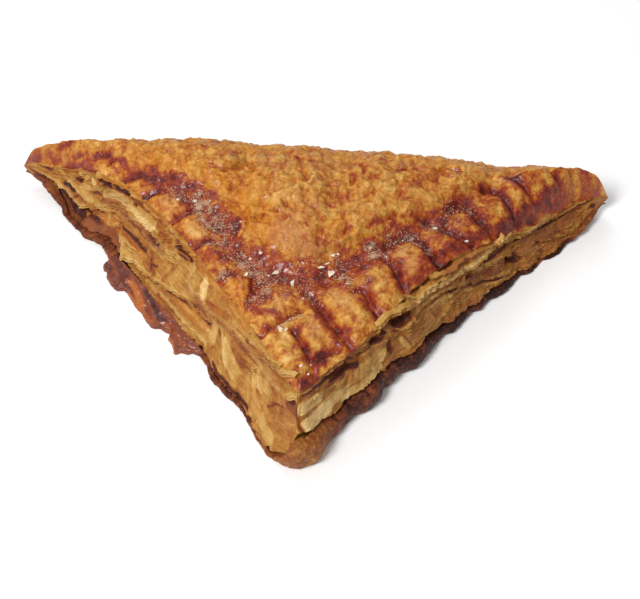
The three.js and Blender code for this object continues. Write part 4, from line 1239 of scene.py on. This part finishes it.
# the browning where nothing is painted, the one that contrast turns about, and the darkest dab; the right
# side's untouched tone is darker, in part as painted shade
sideTone = {"left": 0.4, "right": 0.46, "middle": 0.42, "darkest": 0.86}
sideContrast = {"left": 1.3, "right": 1.15}


def sideColour(side, s, h, depth):
    # the paint lies where it is seen from above the corner, so a point that stands out slips under it
    s, h = s - sides["slip"][side][0] * depth, h - sides["slip"][side][1] * depth
    fibre = noise(s * 0.25, h * 1.6, 1.0, 71, 3)
    bake = sideTone[side] + 0.07 * fibre + 0.1 * noise(s, h, 6, 72, 2) + 0.05 * noise(s, h * 1.5, 1.4, 73, 2)
    bake = paintOver(bake, s, h, sidePaint[side]["bake"], 0.6, 74, 0.4)
    bake = sideTone["middle"] + sideContrast[side] * (bake - sideTone["middle"])
    bake = np.minimum(bake, sideTone["darkest"])
    bake += 0.12 * noise(s + 0.35 * h, h * 0.2, 3.0, 79, 2) * smooth(s, 45, 75)
    bake += 0.08 * fibre + 0.08 * noise(s, h * 1.4, 0.8, 75, 2) + 0.08 * noise(s, h, 2.4, 76, 2)
    masks = {"bake": bake}
    for k, label in enumerate(("rose", "amber")):
        masks[label] = paintOver(np.zeros(np.shape(s)), s, h, sidePaint[side][label], 1.6, 77 + k, 0.7)
    return masks


openLook = {
    "browning": [
        (0.0, (228, 191, 130)), (0.15, (202, 161, 93)), (0.3, (180, 132, 59)), (0.45, (160, 99, 33)),
        (0.6, (132, 65, 17)), (0.75, (100, 39, 9)), (0.88, (66, 22, 8)), (1.0, (38, 11, 5)),
    ],
    "amber": (190, 108, 20),
    "rose": (152, 90, 58),
    "amberStrength": 0.55,
    "roseStrength": 0.5,
    "blotch": 0.14,
    # how strongly the painted shade in crevices darkens the colour
    "creviceShade": 0.6,
    "rough": 0.56,
}


def openMaterial(name, flakeScale, bumpDistance, speckleAmount):
    material, tree, surface = newMaterial(name)
    mottle = useGroup(tree, ovenMottle, Blotch_Scale=220.0, Speckle_Scale=1500.0)
    bake = maths(tree, "ADD", mask(tree, "bake"), unevenness(tree, mottle, openLook["blotch"], speckleAmount))
    # painted shade: the crevice mask darkens the browning, less where it is dark already
    shade = maths(tree, "MULTIPLY", mask(tree, "creviceShade"), maths(tree, "SUBTRACT", 1.0, bake, True))
    bake = maths(tree, "ADD", bake, maths(tree, "MULTIPLY", shade, openLook["creviceShade"]), True)
    colour = colourScale(tree, bake, openLook["browning"])
    pale = maths(tree, "SUBTRACT", 1.0, between(tree, bake, 0.7, 0.9))
    for label in ("amber", "rose"):
        colour = tint(tree, colour, mask(tree, label), pale, openLook[label + "Strength"], openLook[label])
    tree.links.new(colour, surface.inputs["Base Color"])
    setInputs(surface, Roughness=openLook["rough"], Specular_IOR_Level=0.3)
    relief = useGroup(tree, flakeRelief, Flake_Scale=flakeScale, Grain_Scale=2400.0)
    addBump(tree, surface, relief.outputs["Height"], bumpDistance)
    return material


leafMaterial = openMaterial("open leaves", 600.0, 0.0001, 0.16)
footMaterial = openMaterial("browned foot", 700.0, 0.00026, 0.6)

print("open sides: shaping")
for side in ("left", "right"):
    points, masks = buildSide(side)
    faces = gridFaces(*points.shape[:2])
    faces = faces if side == "left" else faces[:, ::-1]
    makePiece("turnover_side_" + side, points, faces, leafMaterial, masks)


# thin leaf edges that stand free of the sides: two along every line of the sides, two under the
# crust, and short scraps between
leafEdges = {
    "step": 0.3,
    "across": 5,
    "thickness": 0.22,
    # how far inside the side they start
    "root": 1.3,
    "scraps": 60,
    # how far under the crust's edge, then reach, dip and seed
    "underCrust": [(1.7, 0.5, -0.1, 401), (2.2, 0.25, 0.0, 409)],
}


def leafStrip(side, line, lip, reach, dip, seed):
    out = sides["lipScale"] * lip + reach
    ls = np.array(line[0::2], float) + sides["slip"][side][0] * out
    lh = np.array(line[1::2], float) + sides["slip"][side][1] * out
    count = max(int((ls[-1] - ls[0]) / leafEdges["step"]), 6)
    s1 = np.linspace(ls[0], ls[-1], count)
    h1 = np.interp(s1, ls, lh)
    root = np.maximum(sideDepth(side, s1, h1 + 0.3)[0], sideDepth(side, s1, h1 + 0.6)[0])
    fade = smooth(s1, ls[0], ls[0] + 2.0) * (1 - smooth(s1, ls[-1] - 2.0, ls[-1]))
    tears = 1 - 0.8 * ridges(s1, s1 * 0 + seed, 4.5, seed + 3) ** 6
    # no leaf edge stands in front of a dark hollow
    seen = 1 - smooth(sideColour(side, s1, h1 + 0.3, root)["bake"], 0.6, 0.78)
    free = reach * (0.75 + 0.7 * noise(s1, s1 * 0 + seed, 2.6, seed, 3)) * tears * fade * seen
    v = np.linspace(0, 1, leafEdges["across"])[:, None]
    wave = dip + 0.25 * noise(s1, s1 * 0, 3.4, seed + 1, 2)
    depth = root[None, :] - leafEdges["root"] + (leafEdges["root"] + np.maximum(free, -0.4))[None, :] * v
    rise = wave[None, :] * v**2 * fade[None, :]
    half = leafEdges["thickness"] * (1 - 0.75 * v)
    s2, h2 = np.broadcast_to(s1, depth.shape), np.broadcast_to(h1, depth.shape)
    top = wallPlace(side, s2, h2 / sheetTop, depth)
    bottom = top.copy()
    top[..., 2] += rise + half
    bottom[..., 2] += rise - half
    masks = sideColour(side, s2, h2 + 0.3, depth)
    for label in masks:
        masks[label] = np.concatenate([masks[label], masks[label][::-1]], 0)
    # the free edges are lightened as a painted highlight, and their undersides get painted shade
    masks["bake"] = np.clip(masks["bake"], 0.05, 0.6) * (0.6 if lip else 0.8)
    masks["creviceShade"] = np.concatenate([np.zeros_like(depth), 0.3 + np.zeros_like(depth)], 0)
    return np.concatenate([top, bottom[::-1]], 0), masks


def buildLeaves(side):
    random = np.random.default_rng(5 if side == "left" else 6)
    wanted = []
    for k, leaf in enumerate(sides[side]["leaves"][1:]):
        wanted.append((leaf["line"], leaf["lip"], 0.22 + 0.18 * leaf["lip"], 0.05, 200 + 7 * k))
        lower = [value - 0.45 * (n % 2) for n, value in enumerate(leaf["line"])]
        wanted.append((lower, leaf["lip"], 0.1 + 0.1 * leaf["lip"], -0.05, 203 + 7 * k))
    for lower, reach, dip, seed in leafEdges["underCrust"]:
        top = [(s, sheetTop * table(plan[side]["lip"], s) - lower) for s in np.arange(20, 108, 4.0)]
        wanted.append(([value for pair in top for value in pair], 0, reach, dip, seed))
    for k in range(leafEdges["scraps"]):
        s0, h0, length = random.uniform(8, 84), random.uniform(4, 17), random.uniform(3, 10)
        tilt = random.normal(0.03, 0.1)
        half = (s0 + length / 2, h0 + tilt * length + random.normal(0, 0.3))
        line = [s0, h0, *half, min(s0 + length, 111), h0 + 2 * tilt * length]
        wanted.append((line, 0, random.uniform(0.1, 0.5), random.normal(0.05, 0.2), 500 + 5 * k))

    gathered, faces, labels, start = [], [], {"bake": [], "rose": [], "amber": [], "creviceShade": []}, 0
    for line, lip, reach, dip, seed in wanted:
        points, masks = leafStrip(side, line, lip, reach, dip, seed)
        rows, columns = points.shape[:2]
        grid = gridFaces(rows, columns) + start
        faces.append(grid[:, ::-1] if side == "left" else grid)
        gathered.append(points.reshape(-1, 3))
        for label in labels:
            labels[label].append(np.asarray(masks[label]).reshape(-1))
        start += rows * columns
    makePiece("turnover_leaves_" + side, np.concatenate(gathered), np.concatenate(faces), leafMaterial,
              {label: np.concatenate(values) for label, values in labels.items()})


print("leaf edges: shaping")
for side in ("left", "right"):
    buildLeaves(side)


base = {
    "ringPoints": 560,
    "backPoints": 240,
    "centre": (0.5, -30.0),
    # height as a share of the browned edge, and how far in
    "profile": [
        (0.99, 4.0), (1.0, 2.2), (0.98, 1.2), (0.92, 0.7), (0.84, 0.4), (0.76, 0.2), (0.67, 0.06),
        (0.58, -0.02), (0.49, -0.06), (0.4, -0.04), (0.31, 0.02), (0.23, 0.12), (0.15, 0.26), (0.08, 0.46),
        (0.03, 0.75), (0.0, 1.3),
    ],
    "left": [
        (0, 0.66), (7, 0.68), (10, 0.74), (24, 0.76), (28, 0.7), (36, 0.66), (80, 0.72), (90, 0.76),
        (100, 0.74), (110, 0.6), (116, 0.5), (121, 0.48),
    ],
    "right": [
        (0, 0.58), (15, 0.6), (18, 0.93), (24, 0.9), (26, 0.7), (29, 0.9), (34, 0.92), (36, 0.86),
        (44, 0.93), (60, 0.9), (72, 0.86), (80, 0.84), (90, 0.8), (97, 0.8), (101, 0.78), (105, 0.62),
        (109, 0.52), (115, 0.46), (119, 0.48),
    ],
}


def footRing():
    # around the foot: place, height of the browned edge, tone, length so far and the way inwards
    parts = []
    for side in ("left", "right"):
        _, _, inward, length = legFrame(side)
        s = np.linspace(0, length - 0.8, base["ringPoints"])
        flat = onLeg(side, s, table(plan[side]["foot"], s))
        lean = unit(mix(cornerLean(side), inward, smooth(length - s, 0, 5)[:, None]))
        along = s + (0 if side == "left" else 200)
        part = np.column_stack([flat, table(plan[side]["brown"], s), table(base[side], s), along, lean])
        parts.append(part if side == "left" else part[::-1])
    x = np.linspace(78.5, -78.5, base["backPoints"])
    back = -np.minimum(5.5, -0.3 * edgeY(x))
    parts.append(np.column_stack([x, back, 0.5 + 0 * x, 0.6 + 0 * x, x + 500, 0 * x, -1 + 0 * x]))
    return np.concatenate(parts)


def buildBase():
    ring = footRing()
    place, heights, tone, along, lean = ring[:, :2], ring[:, 2], ring[:, 3], ring[:, 4], ring[:, 5:]
    lift = tipLift(place[:, 0])
    rows, bakes = [], []
    for share, inset in base["profile"]:
        grain = 0.3 * noise(along, share * heights, 1.4, 95, 3)
        grain = grain + 0.25 * noise(along, share * heights, 4.0, 96, 2)
        pinch = 0.3 * ridges(along, share * heights * 0.4, 5.0, 97) ** 3
        out = (grain - pinch) * smooth(share, 0.0, 0.2) * (share < 0.99) * smooth(heights, 0.4, 1.0)
        inwards = np.minimum(inset * np.minimum(heights / 3.0, 1.0), 0.5 * np.abs(place[:, 1]))
        flat = place + lean * (inwards - out)[:, None]
        z = lift + share * heights * (0.99 + 0.06 * noise(along, 0 * along, 2.0, 98, 2)) + 0.02
        rows.append(np.column_stack([flat, z]))
        bake = tone + 0.26 * noise(along, share * heights * 1.3, 1.6, 99, 3)
        bakes.append(bake + 0.16 * noise(along, share * heights, 6, 94, 2))
    # the underside, in rings towards its centre
    for share in (0.06, 0.16, 0.32, 0.55, 0.8):
        flat = mix(place + lean * 0.5, np.array(base["centre"]), share)
        bumps = 0.12 * np.abs(noise(flat[:, 0], flat[:, 1], 5, 93, 2))
        rows.append(np.column_stack([flat, lift * (1 - share) ** 3 + 0.02 + bumps]))
        bakes.append(0.62 + 0.14 * noise(flat[:, 0], flat[:, 1], 9, 92, 3))
    return bluntTips(np.array(rows), 3.6), np.array(bakes)


print("foot: shaping")
points, bakes = buildBase()
rows, columns = points.shape[:2]
faces = gridFaces(rows, columns, wrap=True).tolist()
last = (rows - 1) * columns
faces += [[last + k, last + (k + 1) % columns, rows * columns] for k in range(columns)]
faces = [face[::-1] for face in faces]
points = np.concatenate([points.reshape(-1, 3), [[*base["centre"], 0.05]]])
bakes = np.concatenate([bakes.reshape(-1), [0.6]])
makePiece("turnover_base", points, faces, footMaterial,
          {"bake": bakes, "creviceShade": 0 * bakes, "amber": 0 * bakes, "rose": 0.3 + 0 * bakes})


# filling that has boiled out at the foot of the left side and set
leak = {
    "from": 38.0, "to": 80.5, "columns": 260, "rows": 46, "thickness": 1.0, "inner": 3.2,
    # beyond this share of the rows it turns under
    "turn": 0.88,
    "outline": [
        (38, 1.6), (38.8, -0.7), (40.3, -1.6), (41.1, -1.0), (42.6, -2.2), (44.5, -2.6), (47, -2.7),
        (48.1, -2.5), (49.2, -1.1), (50.3, -0.9), (53, -1.3), (55.4, -1.8), (58.4, -1.7), (60.5, -2.2),
        (63.1, -2.4), (64.2, -2.0), (65.2, -0.8), (68.3, 0.1), (69.4, -1.2), (70.9, -1.3), (72.4, -1.7),
        (73.6, -2.6), (74.5, -2.3), (74.8, -0.9), (76.3, 0.0), (76.9, 1.3), (78.6, 2.2), (80.5, 3.2),
    ],
    "top": [
        (38, 1.2), (40, 3.0), (44, 3.2), (50, 3.0), (56, 2.7), (60, 2.9), (66, 2.9), (70, 2.4), (76, 2.2),
        (80.5, 1.4),
    ],
    "browning": [
        (0.0, (190, 116, 44)), (0.3, (166, 84, 26)), (0.55, (136, 62, 24)), (0.8, (104, 42, 22)),
        (1.0, (58, 20, 16)),
    ],
    "speckle": 0.4,
    "bump": 0.00016,
    # browning dabs over s and 15 times the share of the way down
    "paint": [
        (0.85, 4, 39, 1, 46, 4, 50, 8), (0.95, 3, 55, 2, 60, 4, 64, 6), (0.9, 2, 40, 9, 42, 11),
        (0.2, 3.5, 50, 6, 55, 8, 57, 12), (0.3, 2.6, 52, 12, 56, 14), (0.75, 3, 46, 10, 48, 13),
        (0.4, 3, 58, 13, 62, 11), (0.5, 3, 66, 8, 74, 6), (0.3, 2, 70, 12, 74, 14), (0.7, 2, 67, 3, 76, 3),
    ],
}


def buildLeak():
    s = np.linspace(leak["from"], leak["to"], leak["columns"])[None, :] * np.ones((leak["rows"], 1))
    v = np.linspace(0, 1, leak["rows"])[:, None] * np.ones((1, leak["columns"]))
    outer = table(leak["outline"], s) + 0.25 * noise(s, s * 0, 1.4, 111, 3)
    turn = leak["turn"]
    down = np.clip(v / turn, 0, 1)
    inset = np.where(v > turn, outer + 0.9 * (v - turn) / (1 - turn), mix(leak["inner"], outer, down))
    lumps = 0.5 * noise(s, v * 9, 3.4, 112, 2) + 0.14 * noise(s, v * 9, 1.2, 113, 2)
    thin = leak["thickness"] + 0.3 * noise(s, s * 0, 3, 114)
    z = mix(table(leak["top"], s), thin, smooth(down, 0, 0.9) ** 0.8)
    z += lumps * smooth(down, 0.05, 0.3)
    roundOff = np.sqrt(np.clip(1 - smooth(down, 0.8, 1.0) ** 2, 0, 1))
    z = np.where(v > turn, 0.05, np.maximum(z * roundOff, 0.06))
    ends = smooth(s, leak["from"], leak["from"] + 1.0)
    ends = np.minimum(ends, 1 - smooth(s, leak["to"] - 1.5, leak["to"]))
    z = mix(0.1, z, ends)
    flat = onLeg("left", s, inset)
    bake = 0.62 + 0.25 * noise(s, v * 8, 3.0, 115, 3)
    bake = paintOver(bake, s, v * 15, leak["paint"], 1.6, 116, 0.9) + 0.1 * noise(s, v * 12, 0.9, 117, 2)
    return np.concatenate([flat, z[..., None]], -1), bake


def setSyrup():
    material, tree, surface = newMaterial("set syrup")
    mottle = useGroup(tree, ovenMottle, Blotch_Scale=300.0, Speckle_Scale=1600.0)
    bake = maths(tree, "ADD", mask(tree, "bake"), unevenness(tree, mottle, 0.0, leak["speckle"]), True)
    tree.links.new(colourScale(tree, bake, leak["browning"]), surface.inputs["Base Color"])
    setInputs(surface, Roughness=0.34, Specular_IOR_Level=0.35, Coat_Weight=0.4, Coat_Roughness=0.16)
    relief = useGroup(tree, flakeRelief, Flake_Scale=500.0, Grain_Scale=1500.0)
    addBump(tree, surface, relief.outputs["Height"], leak["bump"])
    return material


print("syrup: shaping")
points, bakes = buildLeak()
faces = gridFaces(*points.shape[:2])[:, ::-1]
makePiece("turnover_leak", points, faces, setSyrup(), {"bake": bakes}, topping=True)


sugar = {
    # x, y, length, width, turn
    "crystals": [
        (-10, -39.7, 1.0, 0.8, 20), (-5.5, -44.5, 2.2, 0.9, 35), (-1.5, -48, 3.0, 1.2, 80),
        (5, -42.5, 1.6, 1.0, -20), (7.5, -43.5, 1.9, 1.5, 60), (6.6, -41.3, 0.9, 0.6, 30),
        (8, -39, 0.9, 0.8, 10), (9.2, -38.6, 0.7, 0.6, 80), (-3.3, -62.4, 1.8, 1.5, -30),
        (-1.8, -62.6, 0.9, 0.7, 70), (2.5, -73, 2.6, 0.7, 62), (5, -71.3, 0.8, 0.6, 10),
        (4.3, -74.6, 0.8, 0.5, 50), (33, -26.5, 1.0, 0.8, 20), (41, -30.4, 0.9, 0.7, 0),
        (-28.8, -23.8, 1.2, 0.9, 15), (-33, -23.6, 0.9, 0.7, 40), (0.5, -42.6, 0.7, 0.6, 0),
        (1.8, -53, 0.9, 0.7, 30), (-13, -46.2, 1.0, 0.8, 60), (12, -48, 0.8, 0.7, 30),
        (18, -36.2, 1.0, 0.8, 10), (17.2, -35.2, 0.8, 0.6, 70), (-7.6, -45.6, 0.8, 0.5, 10),
        (3.6, -50.8, 0.8, 0.6, 60), (-12.6, -41, 0.7, 0.6, 20), (-19, -45.8, 0.8, 0.7, 60),
        (10.6, -44.6, 0.9, 0.7, 20), (-16, -30.4, 0.6, 0.5, 0), (25, -31, 0.6, 0.5, 20),
    ],
    "crystalColours": [(0.3, (206, 176, 150)), (0.6, (236, 222, 204))],
    # grains are tried at random over an area and kept where the dust is thick
    "grainArea": [(-38, -63), (44, -18)],
    "tries": 90000,
    "grains": 7500,
    "grainSize": (0.06, 0.18),
    "grainColours": [(0.3, (184, 146, 112)), (0.65, (228, 200, 166))],
}


def shard(random, centre, size, turn):
    points = random.normal(0, 1, (7, 3))
    points = unit(points) * random.uniform(0.7, 1.0, (7, 1)) * np.array(size) / 2
    a = math.radians(turn)
    turned = np.array([[math.cos(a), math.sin(a), 0], [-math.sin(a), math.cos(a), 0], [0, 0, 1]])
    return points @ turned + centre


def buildCrystals():
    random = np.random.default_rng(8)
    builder = bmesh.new()
    spots = np.array([(c[0], c[1]) for c in sugar["crystals"]], float)
    heights = crustHeight(spots[:, 0], spots[:, 1])["height"]
    for (x, y, length, width, turn), z in zip(sugar["crystals"], heights):
        corners = toRow(shard(random, (x, y, z + 0.14), (1.9 * length, 1.7 * width, 0.7 * width), turn))
        made = [builder.verts.new(tuple(corner)) for corner in corners]
        hull = bmesh.ops.convex_hull(builder, input=made)
        inner = {g for g in hull["geom_interior"] + hull["geom_unused"] if isinstance(g, bmesh.types.BMVert)}
        bmesh.ops.delete(builder, geom=list(inner), context="VERTS")
    mesh = bpy.data.meshes.new("turnover_sugar")
    builder.to_mesh(mesh)
    builder.free()
    return mesh


def sugarMaterial(name, blotchScale, colours, rough):
    material, tree, surface = newMaterial(name)
    mottle = useGroup(tree, ovenMottle, Blotch_Scale=blotchScale, Speckle_Scale=3000.0)
    tree.links.new(colourScale(tree, mottle.outputs["Blotch"], colours), surface.inputs["Base Color"])
    setInputs(surface, Roughness=rough)
    return material, tree, surface, mottle


print("sugar: scattering")
crystalMaterial, tree, surface, mottle = sugarMaterial("sugar crystals", 900.0, sugar["crystalColours"], 0.35)
setInputs(surface, Subsurface_Weight=0.3, Subsurface_Scale=0.0006)
addBump(tree, surface, mottle.outputs["Speckle"], 0.00006, 0.6)
placePiece(buildCrystals(), crystalMaterial, topping=True)


def buildGrains():
    # fine eight-sided grains, thickest where the dust is
    random = np.random.default_rng(9)
    tries = random.uniform(*sugar["grainArea"], (sugar["tries"], 2))
    found = crustHeight(tries[:, 0], tries[:, 1])
    density = powderAmount(tries[:, 0], tries[:, 1])
    kept = (random.random(len(tries)) < 0.5 * density**1.3) & (found["edge"] > 0.5)
    tries, heights = tries[kept][:sugar["grains"]], found["height"][kept][:sugar["grains"]]
    corners = np.array([(1, 0, 0), (-1, 0, 0), (0, 1, 0), (0, -1, 0), (0, 0, 1), (0, 0, -1)], float)
    faces = np.array([(0, 2, 4), (2, 1, 4), (1, 3, 4), (3, 0, 4), (2, 0, 5), (1, 2, 5), (3, 1, 5), (0, 3, 5)])
    sizes = random.uniform(*sugar["grainSize"], (len(tries), 1, 1))
    sizes = sizes * random.uniform(0.7, 1.3, (len(tries), 6, 1))
    points = np.column_stack([tries, heights + 0.04])[:, None, :] + corners[None] * sizes
    return points, (faces[None] + 6 * np.arange(len(tries))[:, None, None]).reshape(-1, 3)


points, faces = buildGrains()
grainMaterial = sugarMaterial("sugar grains", 700.0, sugar["grainColours"], 0.6)[0]
makePiece("turnover_sugar_grains", points, faces, grainMaterial, {}, topping=True)

studio = {
    "azimuth": 4.16, "elevation": 53.0, "distance": 0.38, "lens": 84.87,
    "target": (5.02, -44.7, 12.0),
    "worldStrength": 0.42,
    "floorTone": 0.96,
    "key": {"place": (-0.30, -0.36, 0.66), "size": 0.26, "power": 5.2},
    "back": {"place": (-0.12, 0.50, 0.62), "size": 0.3, "power": 1.25},
}
print("studio: setting up")
target = Vector(toRow([studio["target"]])[0])
azimuth, elevation = math.radians(studio["azimuth"]), math.radians(studio["elevation"])
away = Vector((math.sin(azimuth) * math.cos(elevation), -math.cos(azimuth) * math.cos(elevation),
               math.sin(elevation)))
cameraData = bpy.data.cameras.new("camera")
cameraData.lens = studio["lens"]
cameraData.sensor_width = 36
cameraData.clip_start = 0.01
camera = bpy.data.objects.new("camera", cameraData)
camera.location = target + away * studio["distance"]
camera.rotation_euler = (-away).to_track_quat("-Z", "Y").to_euler()
bpy.context.scene.collection.objects.link(camera)
bpy.context.scene.camera = camera

floorMesh = bpy.data.meshes.new("floor")
floorMesh.from_pydata([(-3, -3, 0), (3, -3, 0), (3, 3, 0), (-3, 3, 0)], [], [(0, 1, 2, 3)])
floor = bpy.data.objects.new("floor", floorMesh)
bpy.context.scene.collection.objects.link(floor)
floorMaterial, tree, surface = newMaterial("pale floor")
setInputs(surface, Base_Color=(*[studio["floorTone"]] * 3, 1), Roughness=0.9)
floorMesh.materials.append(floorMaterial)

world = bpy.data.worlds.new("studio")
world.use_nodes = True
setInputs(world.node_tree.nodes["Background"], Color=(1, 1, 1, 1), Strength=studio["worldStrength"])
bpy.context.scene.world = world
bpy.context.scene.view_settings.view_transform = "Standard"

for name in ("key", "back"):
    lampData = bpy.data.lights.new(name, "AREA")
    lampData.size = studio[name]["size"]
    lampData.energy = studio[name]["power"]
    lamp = bpy.data.objects.new(name, lampData)
    lamp.location = studio[name]["place"]
    lamp.rotation_euler = (target - lamp.location).to_track_quat("-Z", "Y").to_euler()
    bpy.context.scene.collection.objects.link(lamp)

print("done")
